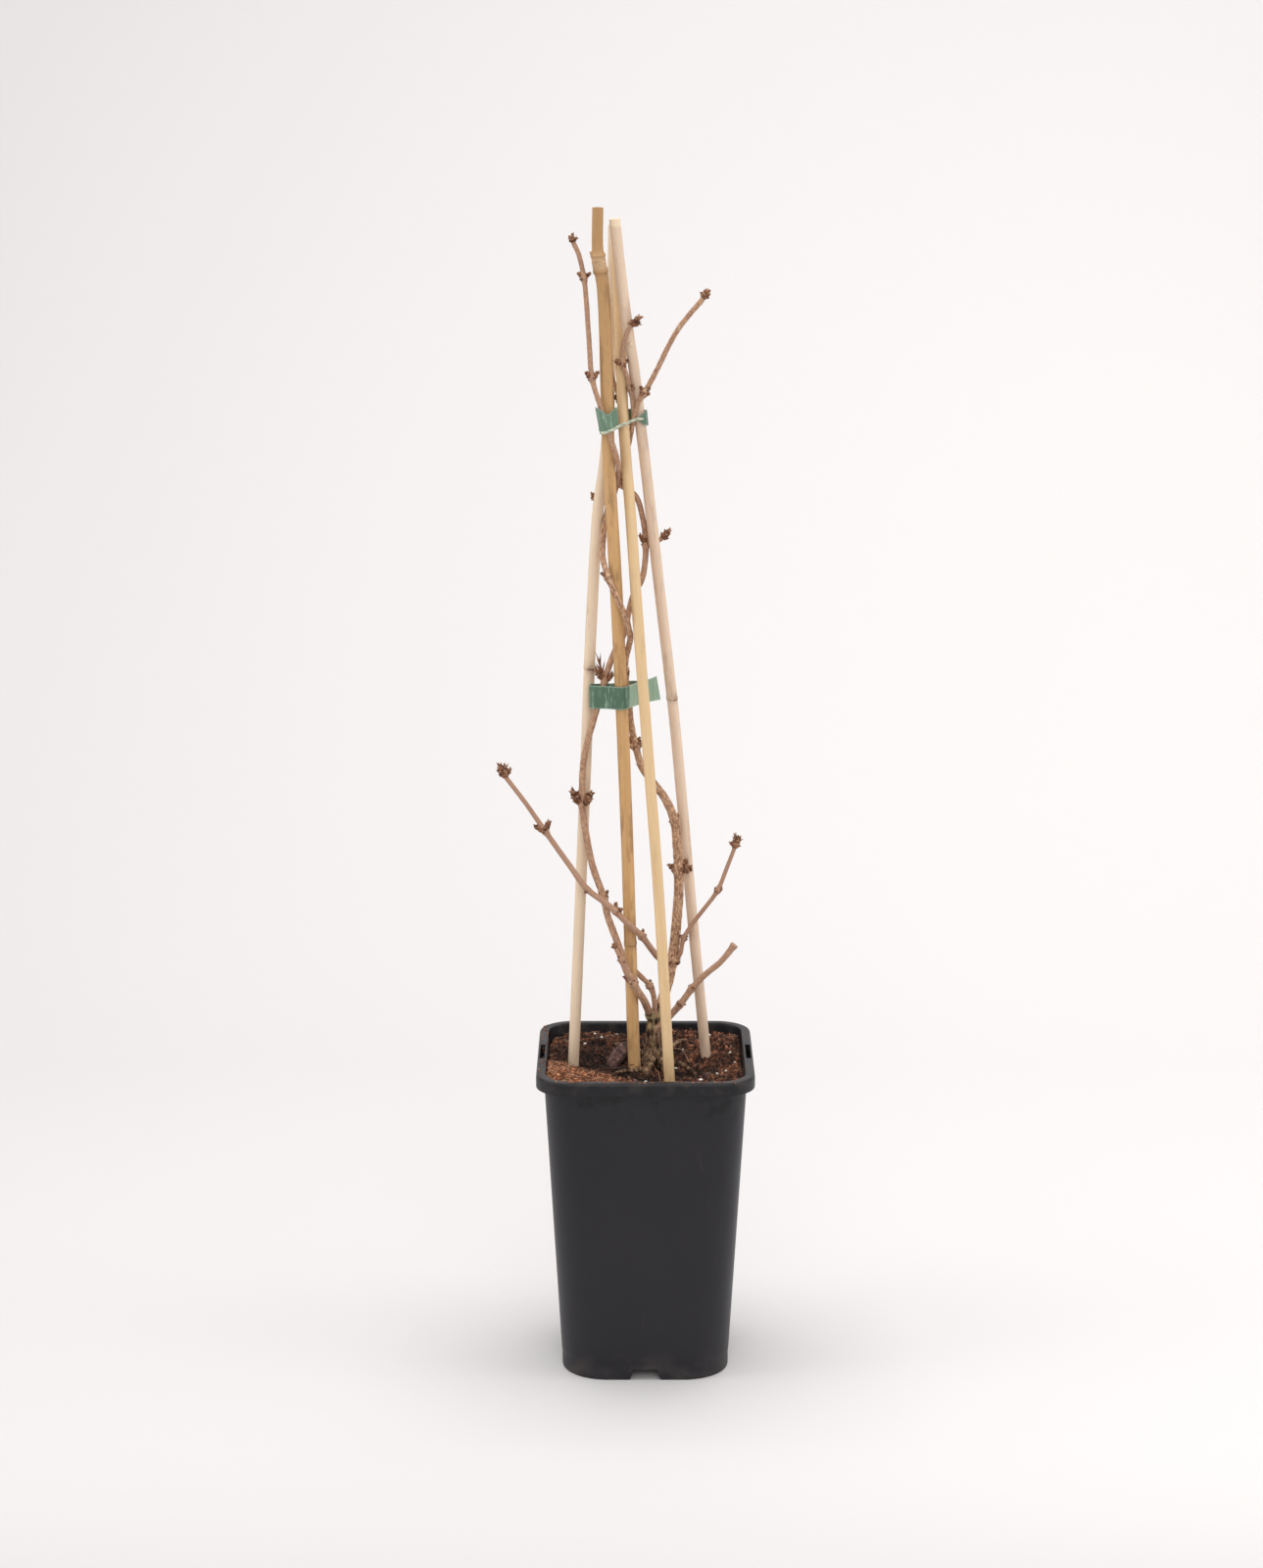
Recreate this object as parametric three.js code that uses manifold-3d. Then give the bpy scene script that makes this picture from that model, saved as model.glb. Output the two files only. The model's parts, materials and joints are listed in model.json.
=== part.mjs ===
// A young climbing honeysuckle, bare in winter, in a square nursery pot with four bamboo canes.
// Millimetres, +Z up. The origin is the middle of the pot's underside, on the ground.
// +X is to the right and -Y to the front of the plant.

import * as THREE from 'three';
import { mergeVertices } from 'three/addons/utils/BufferGeometryUtils.js';
import Module from 'manifold-3d';

const wasm = await Module();
wasm.setup();

// Driving sizes
const CLEARANCE = 0.3;
const POT = {
  rimWidth: 130,
  height: 191.4,
  footWidth: 101,
  wallTopWidth: 120.2,
  wall: 1.2,
  lipHeight: 8,
  rimCorner: 21,
  wallCornerInset: 3.5,
  footCorner: 27.5,
  stepHeight: 11,
  stepDepth: 0.3,
  floorUnderside: 6.5,
  floorThickness: 1.5,
  underLip: 1.6,
  notch: { width: 18.4, topWidth: 14.8, height: 6.6, depth: 8 },
  padRadius: 12,
  drainHole: { radius: 4.5, outFromMiddle: 27 },
  slot: { length: 28, width: 3, inFromRim: 2.8, depth: 3 },
};
// The foot's section from the inside out: how far in from its outline, and the height
const FOOT_SECTION = [[3.4, POT.floorUnderside], [2.6, 0], [0.8, 0], [0, 1.2]];
// The lip's section from the inside out: how far in from the rim, and how far below the top
const LIP_SECTION = [
  [POT.wall, POT.underLip], [POT.wall, POT.lipHeight], [0.2, POT.lipHeight],
  [0, POT.lipHeight - 0.8], [0, 1.1], [0.9, 0],
];
const SOIL = { level: 182.5, reliefHalf: 60, cells: 20, belowTop: 0.8 };
const TAPE_THICKNESS = 0.7;

// How finely round and long things are drawn
const CANE = { sides: 10, ringReach: 1.3, ringLoops: [-3, -1.5, 0, 1.5, 3] };
const STEM = { sides: 6, step: 9, knotSwell: 0.5, knotReach: 2.2, knotLoops: [-2.6, -0.8, 1] };
const ROOT = { sides: 6, trunkStep: 9, limbStep: 6, step: 10, roughness: 0.05 };
const LEAST_LOOP_GAP = { fromEnd: 0.8, fromKnot: 1.2 };

// A bud's section, as shares of its radius and its length, and the outer scales on it
const BUD_SECTION = [[0, -0.25], [1, 0.2], [0.75, 0.6], [0, 1]];
const BUD_SIDES = 4;
const BUD_SCALE = {
  width: 0.5,
  length: 0.62,
  lean: 0.42,
  out: 0.45,
  low: 0.08,
  rise: 0.1,
  most: 3,
  spacing: 2.2,
};
const BUD_SINK = 0.75;

// Canes: the route of the axis from the foot to the top, the radius, and the rings at the joints
const CANES = {
  cane_left: {
    route: [
      [-48, -3, 86], [-43.5, -3, 184], [-39, -3, 286], [-34.5, -2.5, 393.5], [-32.5, -2.5, 443.5],
      [-29.5, -2, 499], [-27.5, -1.5, 525], [-24.5, -1.5, 545], [-22, -1, 570], [-21, 1.5, 599],
      [-20, 5, 624], [-19, 8.5, 654.5], [-18.5, 11, 685.5],
    ],
    radius: 3.3,
    rings: [{ height: 426, stand: 0.4 }],
    colour: 0xcbb595,
  },
  cane_middle: {
    route: [
      [-2, -6.5, 97], [-6.5, -8.5, 184], [-11.5, -10.5, 342], [-17, -12.5, 471.5], [-21.5, -14, 552.5],
      [-22.5, -14, 592], [-24.5, -14.5, 651], [-27.5, -15, 671], [-27.5, -15, 697],
    ],
    radius: 3.7,
    topRadius: 3.2,
    rings: [{ height: 670.5, stand: 0.9 }, { height: 660, stand: 0.5 }, { height: 262, stand: 0.25 }],
    colour: 0xb08c52,
  },
  cane_front: {
    route: [
      [21.5, -48, 80], [14.5, -40, 183], [8, -31.5, 293.5], [1, -23.5, 386], [-5.5, -16, 472],
      [-9.5, -10.5, 529], [-11, -9, 546], [-13, -8, 574.5], [-14, -5.5, 596.5], [-15, -2, 624.5],
      [-16.5, 1, 658], [-17, 2.5, 676],
    ],
    radius: 3.2,
    rings: [],
    colour: 0xd2b380,
  },
  cane_right: {
    route: [
      [46, 24.5, 90], [37, 19, 184], [27.5, 13.5, 281.5], [17.5, 7, 391.5], [7.5, 2.5, 479.5],
      [0, -1, 546], [-3.5, -3.5, 575], [-6.5, -7, 601.5], [-10.5, -9.5, 628], [-14.5, -11, 659],
      [-18, -12.5, 690.5],
    ],
    radius: 3.2,
    rings: [{ height: 408.5, stand: 0.35 }],
    colour: 0xc8ab8f,
  },
};

// Rootstock: a short trunk that forks above the soil, with roots that run off under it
const CROWN = {
  trunk: { route: [[3.5, 13, 164], [4, 12, 184], [5, 9, 197], [6, 5.5, 208.5]], radii: [5, 5.2, 4.2, 4.3] },
  limbs: [
    { route: [[6, 6.5, 205], [4, 3.5, 211.5], [2.2, 0, 216.3]], radii: [3.6, 3.2, 2.8] },
    { route: [[6, 6.5, 205], [8.5, 7.2, 213], [10.3, 8.3, 219.6]], radii: [3.9, 3.8, 3.7] },
  ],
  roots: [
    {
      route: [[4.5, 9, 191], [3.5, 1, 188.5], [2, -7, 186], [1, -15, 183.5], [0, -23, 178]],
      radii: [3, 2.6, 2.2, 1.8, 1.3],
    },
    {
      route: [[2, -7, 186], [-1, -14, 184.5], [-8, -16.5, 184.5], [-16, -18.5, 184], [-24, -19.5, 180]],
      radii: [1.7, 1.4, 1.3, 1.2, 1],
    },
    { route: [[3, 12, 186], [-5, 22, 184.5], [-15, 33, 185], [-22, 44, 182]], radii: [2.6, 1.8, 1.4, 1.1] },
    { route: [[5, 12, 186], [14, 24, 185.5], [21, 36, 186.5], [27, 46, 184]], radii: [2.8, 1.9, 1.4, 1.1] },
    { route: [[5, 10, 187], [14, 6, 183.5], [24, 1, 181.5], [33, -8, 177]], radii: [2.7, 1.9, 1.5, 1.1] },
  ],
  colour: 0x6d5a3c,
};

// Buds point by a turn in plan, 0 to the right and 90 to the back, and a rise above the level
const bud = (turn, rise, length, width = 2.6) => ({ turn, rise, length, width });
const pair = (turn, rise, length, width) => [
  bud(turn, rise, length, width),
  bud(turn + 180, rise, length, width),
];

// Stems: the route from the foot to the tip, radii spread evenly along it, the knots where leaves
// grew, given by their place in the route, and side twigs that grow from a knot
const STEMS = {
  vine_left: {
    route: [
      [4, 4, 210.5], [2.5, 1, 215], [0.5, -5.5, 222], [-1, -11, 227], [-3.5, -15, 232],
      [-7.5, -16.5, 239.5], [-11, -16.5, 247], [-16.5, -14.5, 263], [-22.5, -11, 279],
      [-25, -10.5, 290.5], [-31.5, -11, 310], [-35, -12, 328], [-37, -12, 342.5], [-37.5, -12, 350.5],
      [-37, -11, 370.5], [-34.5, -11, 384.5], [-31.5, -11.5, 395.5], [-28.5, -11.5, 406],
      [-24, -10, 422], [-21.5, -6.5, 430], [-17.5, -2, 439.5], [-12.5, -2.5, 449],
      [-10, -2.5, 461], [-7, -1.5, 472], [-2.5, -0.5, 480], [-0.5, 1.5, 489.5], [0, 5.5, 500.5],
      [-1.5, 3, 515], [-6, -1.5, 530], [-15.5, -6, 538], [-16, -10.5, 543.5], [-15.8, -14.8, 548.5],
      [-17.5, -19, 557], [-21.5, -20.5, 569], [-26, -19, 583.5], [-31, -16.5, 600],
      [-32.5, -15.5, 619], [-34, -15, 641], [-35.5, -14.5, 657], [-38.5, -15, 670.5],
      [-41.8, -15.5, 678],
    ],
    radii: [2.4, 2.15, 2.05, 1.95, 1.85, 1.8, 1.75, 1.6, 1.5, 1.45, 1.4],
    knots: [
      { at: 5, buds: [bud(180, 35, 5.5)] },
      { at: 9, buds: [bud(20, 55, 3.5, 2.2), bud(200, 50, 3, 2)] },
      { at: 13, buds: [bud(190, 55, 11, 4.2), bud(10, 40, 7.5, 4.4), bud(-40, 20, 4.5, 2.6)] },
      { at: 18, buds: [bud(180, 48, 9.5, 3), bud(170, 82, 13, 1.8), bud(-20, 40, 6, 3.2)] },
      { at: 26, buds: [bud(180, 60, 6, 2.8), bud(-100, 60, 4, 2.2)] },
      { at: 29, buds: [bud(150, 80, 6.5, 2.6), bud(20, 30, 3.5, 2.2)] },
      { at: 35, buds: pair(10, 45, 4.5, 2.6) },
      { at: 38, buds: pair(-10, 40, 4, 2.3) },
    ],
    twigs: [
      {
        route: [[-7.5, -16.5, 239.5], [-12, -20, 247.5], [-14, -20, 254], [-18, -18, 261.5]],
        radii: [1.7, 1.5, 1.4, 1.3],
        knots: [{ at: 2, buds: [bud(190, 50, 3, 2)] }],
        tip: [bud(180, 60, 3.5, 2.6), bud(200, 20, 3, 1.8)],
      },
      {
        route: [[0, 5.5, 500], [3.5, 7, 501.5], [7.5, 7, 502.5], [10.5, 6, 504.5]],
        radii: [1.6, 1.4, 1.4, 1.5],
        knots: [],
        tip: [bud(5, 50, 7.5, 3.4), bud(20, 15, 3.5, 2), bud(-60, 40, 3.5, 2)],
      },
    ],
    tip: [
      bud(120, 75, 4, 3), bud(175, 55, 4.5, 2.2), bud(0, 40, 4, 2), bud(90, 80, 5.5, 1.6),
      bud(-90, 30, 3, 2.2),
    ],
    roughness: 0.05,
    colour: 0x8a5d45,
  },
  vine_right: {
    route: [
      [7, 6, 207.5], [10.5, 8.5, 221], [14, 11, 233], [16.5, 12, 245.5], [19, 10, 271.5],
      [20, 7.5, 288], [20, 5, 303], [19, 4.5, 319], [17.5, 3.5, 333.5], [11.5, 1, 348.5],
      [2.5, -1, 361], [-2, -2, 368], [-6, -3, 381.5], [-8.5, -4, 394], [-10, -4.5, 410.5],
      [-12, -4, 424.5], [-11.5, -6, 435], [-9, -12.5, 447.5], [-10, -17, 454.5],
      [-12.5, -19.5, 463.5], [-17.5, -19.8, 474.5], [-21.5, -18.5, 484], [-25, -13, 495],
      [-25, -9, 505], [-24, -4.5, 514.5], [-21.5, 1, 523.5], [-18.5, 1.5, 531], [-15.5, 0.5, 540],
      [-12, 1, 552], [-9.5, -1.5, 562], [-8, -5.5, 570.5], [-7, -8.5, 577], [-4.5, -10.5, 585.5],
      [-1, -11.5, 591], [6, -12.5, 604], [17.5, -14.5, 626.5], [33.2, -16.5, 646.5],
    ],
    radii: [3.4, 3.0, 2.8, 2.65, 2.4, 2.0, 1.85, 1.8, 1.8, 1.75, 1.7, 1.6, 1.4, 1.5, 1.5, 1.5],
    knots: [
      { at: 3, swell: 1, buds: [bud(55, 10, 2.8, 2.8)] },
      {
        at: 6,
        swell: 0.8,
        buds: [bud(185, 30, 5.5, 3), bud(-10, 15, 6.5, 4.6), bud(20, 50, 6, 3.2), bud(-50, 20, 5, 3)],
      },
      { at: 8, swell: 0.3, buds: [bud(0, 70, 3.5, 2.4)] },
      { at: 12, swell: 0.9, buds: [bud(190, 55, 4.5, 2.8), bud(10, 60, 4, 2.6)] },
      { at: 15, buds: [bud(30, 60, 3, 2)] },
      { at: 21, buds: [bud(180, 35, 5, 1.8)] },
      { at: 25, buds: [] },
      { at: 33, swell: 0.8, buds: [bud(-10, 55, 4.5, 3), bud(190, 60, 3.2, 2.2)] },
    ],
    twigs: [
      {
        route: [[-21.5, 1, 523.5], [-25, 5, 525.5], [-29.5, 5.5, 527]],
        radii: [1.4, 1.1, 1.1],
        knots: [],
        tip: [bud(180, 60, 5.5, 2), bud(200, 30, 3.5, 1.8), bud(170, 0, 3, 1.6)],
      },
      {
        route: [
          [-7, -8.5, 577], [-8, -9.5, 588], [-9, -10.5, 593.5], [-11.5, -12, 602.5],
          [-13.5, -13.5, 608], [-13, -14, 619], [-10.5, -15, 627], [-8, -15.5, 631],
        ],
        radii: [1.4, 1.35, 1.3, 1.3, 1.3],
        knots: [
          { at: 2, buds: [bud(-60, 50, 3, 2)] },
          { at: 4, swell: 0.7, buds: [bud(205, 25, 4.2, 3), bud(10, 35, 3.2, 2)] },
        ],
        tip: [bud(10, 40, 6.5, 3.4), bud(20, -5, 5.5, 1.9), bud(-30, 60, 3, 2), bud(170, 20, 2.6, 2.2)],
      },
      {
        route: [
          [-9.5, -1.5, 562], [-12.5, 1, 573], [-15, 0, 584.5], [-18, -3, 595], [-20.5, -6, 605],
          [-22, -7.5, 611],
        ],
        radii: [1.3, 1.1, 1.1, 1, 1, 0.9],
        knots: [{ at: 2, buds: [bud(200, 50, 4.5, 2.4)] }],
        tip: [bud(150, 60, 3, 1.8)],
      },
    ],
    tip: [
      bud(20, 55, 6, 4), bud(0, 75, 5.5, 2), bud(60, 60, 5.5, 2), bud(-30, 30, 4.5, 2.4),
      bud(150, 50, 4, 2.4), bud(-90, 30, 3.5, 2.4),
    ],
    roughness: 0.08,
    colour: 0x96684a,
  },
  shoot_far_left: {
    route: [
      [16.5, 12, 245.5], [9.5, 4, 248.5], [4.5, -6, 256], [-2, -13.5, 267], [-8, -17.5, 274],
      [-13.5, -19, 279.5], [-17.5, -19, 284], [-26, -17.5, 290.5], [-34.5, -17, 297],
      [-47, -17, 314.5], [-59.5, -18, 333], [-71, -19.5, 350.5], [-83, -20.5, 367],
    ],
    radii: [2.4, 1.9, 1.8, 1.8, 1.7, 1.6, 1.4, 1.35],
    knots: [
      { at: 3, buds: [bud(60, 75, 3.2, 1.8)] },
      { at: 6, buds: [bud(90, 75, 4.5, 2.2), bud(-20, 25, 3.5, 2.2)] },
      { at: 8, swell: 0.2, buds: [bud(-120, -30, 2, 1.8)] },
      { at: 10, swell: 0.7, buds: [bud(175, 25, 6, 3), bud(20, 65, 6, 3.2), bud(-90, 40, 3.5, 2.4)] },
    ],
    twigs: [],
    tip: [
      bud(150, 55, 6, 4.4), bud(175, 40, 6.5, 2), bud(60, 65, 5.5, 2.2), bud(200, 15, 4.5, 2.2),
      bud(10, 25, 3.5, 2.4), bud(-90, 45, 4, 2.4),
    ],
    roughness: 0.04,
    colour: 0x96705a,
  },
  shoot_stub: {
    route: [[5.5, 3, 212], [5.5, 2.5, 223], [3, 2.5, 231.5], [-2.5, 1, 238], [-8, -0.5, 244.5]],
    radii: [1.8, 1.7, 1.6, 1.4, 1.3],
    knots: [{ at: 2, buds: [bud(90, 80, 3, 1.8)] }, { at: 3, swell: 0.2, buds: [] }],
    twigs: [],
    tip: [bud(180, 50, 2.6, 2.2)],
    roughness: 0.05,
    colour: 0x7d5c48,
  },
  shoot_right_upper: {
    route: [
      [17, 12, 244], [21, 9, 250], [23, 7, 260], [27.5, 5.5, 268.5], [32.5, 3.5, 276],
      [39, 2, 285], [43.5, 1, 292], [48.5, -0.5, 305.5], [53.5, -2, 319.5],
    ],
    radii: [1.9, 1.6, 1.6, 1.5, 1.4, 1.35, 1.3],
    knots: [
      { at: 2, swell: 0.3, buds: pair(-20, 40, 2.6, 2) },
      { at: 6, swell: 0.6, buds: [bud(-30, 40, 2.2, 2)] },
    ],
    twigs: [],
    tip: [
      bud(60, 70, 6.5, 3.8), bud(80, 80, 7.5, 1.8), bud(20, 55, 6.5, 2), bud(170, 30, 4, 2.4),
      bud(-10, 15, 3.6, 2.4), bud(-90, 40, 3.5, 2.2),
    ],
    roughness: 0.04,
    colour: 0x93705c,
  },
  shoot_right_lower: {
    route: [
      [6, 3, 203.5], [11.5, 0.5, 210], [21, -2, 221.5], [28, -2.5, 231.5], [35.5, -3, 240],
      [45.5, -4, 249], [53.5, -4.5, 259.5],
    ],
    radii: [2.3, 2.1, 2.0, 1.9, 1.8, 1.8, 2.0],
    knots: [
      { at: 2, swell: 0.3, buds: [bud(-100, 10, 2.4, 2)] },
      { at: 3, swell: 0.4, buds: [bud(-70, 30, 2.2, 1.8)] },
    ],
    twigs: [],
    tip: [],
    cutEnd: true,
    roughness: 0.05,
    colour: 0x86614a,
  },
};

// Plastic tape on edge: its lower and its upper edge at each point of the line it follows
const level = (x, y, low, high) => [[x, y, low], [x, y, high]];
const TIES = {
  tie_middle: {
    strips: [
      [
        level(8.8, -5.2, 409.6, 423.3), level(2, -7, 408.6, 422.3), level(-5, -9.8, 407.1, 420.7),
        level(-9, -13.4, 406.4, 420), level(-11.6, -16, 406, 419.6), level(-14.6, -16.6, 405.7, 419.3),
        level(-18.5, -16.1, 405.9, 419.4), level(-24, -15.2, 406.1, 419.6), level(-29, -14.8, 406.1, 419.7),
        level(-32.2, -13.6, 406.1, 419.7), level(-33, -11.3, 406.1, 419.7), level(-31.6, -8.9, 406.1, 419.7),
        level(-28.5, -8, 406.1, 419.7), level(-24, -7.5, 406.1, 419.7),
      ],
      [
        level(-25, -7.6, 406.1, 419.7), level(-19, -6.9, 406.1, 419.7), level(-15, -6.6, 406.1, 419.7),
        level(-14.4, -4.4, 406.1, 419.7), level(-13.6, -2, 406.1, 419.7), level(-11, -0.9, 406.3, 419.9),
        level(-7.4, -1.7, 406.7, 420.3), level(-5.6, -4.2, 407.1, 420.7), level(-3.4, -6.8, 407.4, 421.1),
        level(0.2, -7.7, 408.3, 421.9),
      ],
    ],
    closed: false,
    colour: 0x5f8f78,
  },
  tie_top: {
    strips: [
      [
        [[-26.4, -12, 568.7], [-27.4, -12.5, 581.5]], [[-26.4, -17.5, 568.6], [-29, -17.5, 583.5]],
        [[-25.6, -21.2, 568.8], [-28.6, -20.8, 583.8]], [[-23.6, -22.8, 569.2], [-26, -22, 582.6]],
        [[-21, -23, 569.8], [-22, -21.2, 579.8]], [[-18.5, -21.8, 570.6], [-18.6, -19.6, 582.6]],
        [[-16.6, -20.2, 571.3], [-17, -18.6, 583.6]], level(-15.4, -19.2, 571.8, 574.4),
        level(-10, -15, 573.4, 575.6), level(-6.5, -12.5, 574.6, 576.8), level(-3.8, -10.4, 574.6, 577.4),
        [[-1, -8, 572.2], [-1.2, -8.3, 579.4]], [[1.1, -4.8, 571.6], [0.4, -5.6, 580.4]],
        [[1.1, -1.8, 571.4], [0.2, -2.6, 580.4]], [[-1.6, 1, 571], [-2.6, 0, 580]],
        level(-10, 2.8, 570.4, 580.4), [[-18, 4, 569.8], [-18, 4.5, 581]],
        [[-22.5, 3.6, 569.4], [-22, 4.5, 581]], [[-25.8, 1.6, 569.2], [-25.2, 2.9, 581]],
        level(-27, -1.8, 569, 581), level(-27, -7, 568.8, 581),
      ],
    ],
    closed: true,
    colour: 0x69a189,
  },
};

// Seeded random numbers from 0 to 1
function randomSeries(seed) {
  let state = seed;
  return () => {
    state = (state * 1664525 + 1013904223) % 4294967296;
    return state / 4294967296;
  };
}

// Turns a closed geometry into a solid that can be joined and cut
function solid(geometry) {
  const bare = geometry.clone();
  bare.deleteAttribute('normal');
  bare.deleteAttribute('uv');
  const merged = mergeVertices(bare, 1e-4);
  return new wasm.Manifold(new wasm.Mesh({
    numProp: 3,
    vertProperties: new Float32Array(merged.attributes.position.array),
    triVerts: new Uint32Array(merged.index.array),
  }));
}

function joined(solids) {
  return solids.reduce((whole, piece) => whole.add(piece));
}

// Keeps the largest body and drops loose scraps
function largest(shape) {
  const bodies = shape.decompose();
  return bodies.reduce((best, body) => (body.volume() > best.volume() ? body : best));
}

function geometryOf(shape) {
  const { vertProperties, triVerts } = shape.getMesh();
  const geometry = new THREE.BufferGeometry();
  geometry.setAttribute('position', new THREE.BufferAttribute(new Float32Array(vertProperties), 3));
  geometry.setIndex(new THREE.BufferAttribute(new Uint32Array(triVerts), 1));
  geometry.computeVertexNormals();
  return geometry;
}

function namedMesh(name, shape, colour, roughness) {
  const material = new THREE.MeshStandardMaterial({ color: colour, roughness, metalness: 0 });
  const mesh = new THREE.Mesh(geometryOf(shape), material);
  mesh.name = name;
  return mesh;
}

// A closed body through loops of points, each loop with the same number of points.
// Loops run anticlockwise about the way from the first to the last, and a fan closes each end.
function loft(loops, firstMiddle, lastMiddle) {
  const count = loops[0].length;
  const positions = loops.flat().concat([firstMiddle, lastMiddle]).flat();
  const first = loops.length * count;
  const last = first + 1;
  const index = [];
  for (let ring = 0; ring < loops.length - 1; ring += 1) {
    for (let side = 0; side < count; side += 1) {
      const next = (side + 1) % count;
      const a = ring * count + side;
      const b = ring * count + next;
      index.push(a, b, b + count, a, b + count, a + count);
    }
  }
  for (let side = 0; side < count; side += 1) {
    const next = (side + 1) % count;
    const top = (loops.length - 1) * count;
    index.push(first, next, side);
    index.push(last, top + side, top + next);
  }
  const geometry = new THREE.BufferGeometry();
  geometry.setAttribute('position', new THREE.Float32BufferAttribute(positions, 3));
  geometry.setIndex(index);
  return solid(geometry);
}

// A smooth line through points, measured along its length
function smoothRoute(points) {
  const finer = 24;
  const curve = new THREE.CatmullRomCurve3(points.map((p) => new THREE.Vector3(...p)), false, 'centripetal');
  curve.arcLengthDivisions = (points.length - 1) * finer;
  const lengths = curve.getLengths();
  return { curve, length: curve.getLength(), marks: points.map((_, i) => lengths[i * finer]) };
}

function shareOf(line, distance) {
  return THREE.MathUtils.clamp(distance / line.length, 0, 1);
}

function between(values, share) {
  const place = THREE.MathUtils.clamp(share, 0, 1) * (values.length - 1);
  const low = Math.min(Math.floor(place), values.length - 2);
  return THREE.MathUtils.lerp(values[low], values[low + 1], place - low);
}

// A round stem along a route, with a ring of sides at each distance. Growth makes it thicker and
// longer all round, for the room that a neighbour leaves it.
function stemBody(line, distances, radiusAt, { sides, roughness, seed, growth }) {
  const random = randomSeries(seed);
  const tangentAt = (distance) => line.curve.getTangentAt(shareOf(line, distance));
  const firstTangent = tangentAt(0);
  const lastTangent = tangentAt(line.length);
  let tangent = firstTangent;
  const across = new THREE.Vector3(0, 1, 0).addScaledVector(tangent, -tangent.y).normalize();
  const loops = distances.map((distance) => {
    const centre = line.curve.getPointAt(shareOf(line, distance));
    const nextTangent = tangentAt(distance);
    across.applyQuaternion(new THREE.Quaternion().setFromUnitVectors(tangent, nextTangent));
    tangent = nextTangent;
    const up = new THREE.Vector3().crossVectors(tangent, across);
    return Array.from({ length: sides }, (_, side) => {
      const angle = (side / sides) * Math.PI * 2;
      const radius = radiusAt(distance) * (1 + roughness * (2 * random() - 1)) + growth;
      return centre.clone()
        .addScaledVector(across, radius * Math.cos(angle))
        .addScaledVector(up, radius * Math.sin(angle));
    });
  });
  const moved = (loop, along, by) => loop.map((point) => point.clone().addScaledVector(along, by));
  if (growth > 0) {
    loops.unshift(moved(loops[0], firstTangent, -growth));
    loops.push(moved(loops[loops.length - 1], lastTangent, growth));
  }
  const first = line.curve.getPointAt(0).addScaledVector(firstTangent, -growth);
  const last = line.curve.getPointAt(1).addScaledVector(lastTangent, growth);
  return loft(loops.map((loop) => loop.map((point) => point.toArray())), first.toArray(), last.toArray());
}

function evenDistances(length, step) {
  const steps = Math.max(2, Math.round(length / step));
  return Array.from({ length: steps + 1 }, (_, i) => (i * length) / steps);
}

// Adds close rings round each knot and drops the plain ones that crowd them
function withKnots(distances, knots, offsets) {
  const length = distances[distances.length - 1];
  const close = knots.flatMap((knot) => offsets.map((offset) => knot + offset));
  const { fromEnd, fromKnot } = LEAST_LOOP_GAP;
  const kept = close.filter((d) => d > fromEnd && d < length - fromEnd);
  const isEnd = (d) => d === 0 || d === length;
  const plain = distances.filter((d) => isEnd(d) || kept.every((k) => Math.abs(k - d) > fromKnot));
  return [...plain, ...kept].sort((a, b) => a - b);
}

function swelling(distance, knot, height, reach) {
  return height * Math.exp(-(((distance - knot) / reach) ** 2));
}

// A cane, or with some growth the plain hole that it stands in
function caneBody({ route, radius, topRadius = radius, rings }, growth = 0) {
  const line = smoothRoute(route);
  const heightOf = (distance) => line.curve.getPointAt(shareOf(line, distance)).z;
  const ringMarks = rings.map(({ height, stand }) => {
    let low = 0;
    let high = line.length;
    while (high - low > 0.01) {
      const middle = (low + high) / 2;
      if (heightOf(middle) < height) low = middle;
      else high = middle;
    }
    return { mark: low, stand };
  });
  const highestRing = Math.max(0, ...ringMarks.map(({ mark }) => mark));
  const radiusAt = (distance) => {
    const plain = distance > highestRing ? topRadius : radius;
    const ringAt = ({ mark, stand }) => swelling(distance, mark, stand, CANE.ringReach);
    return ringMarks.reduce((sum, ring) => sum + ringAt(ring), plain);
  };
  const distances = withKnots(line.marks, ringMarks.map(({ mark }) => mark), CANE.ringLoops);
  return stemBody(line, distances, radiusAt, { sides: CANE.sides, roughness: 0, seed: 1, growth });
}

// The plain hole that a cane stands in
function caneHole({ route, radius }) {
  return caneBody({ route: route.slice(0, 3), radius, rings: [] }, CLEARANCE);
}

function direction({ turn, rise }) {
  const level = Math.cos(THREE.MathUtils.degToRad(rise));
  return new THREE.Vector3(
    level * Math.cos(THREE.MathUtils.degToRad(turn)),
    level * Math.sin(THREE.MathUtils.degToRad(turn)),
    Math.sin(THREE.MathUtils.degToRad(rise)),
  );
}

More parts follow.
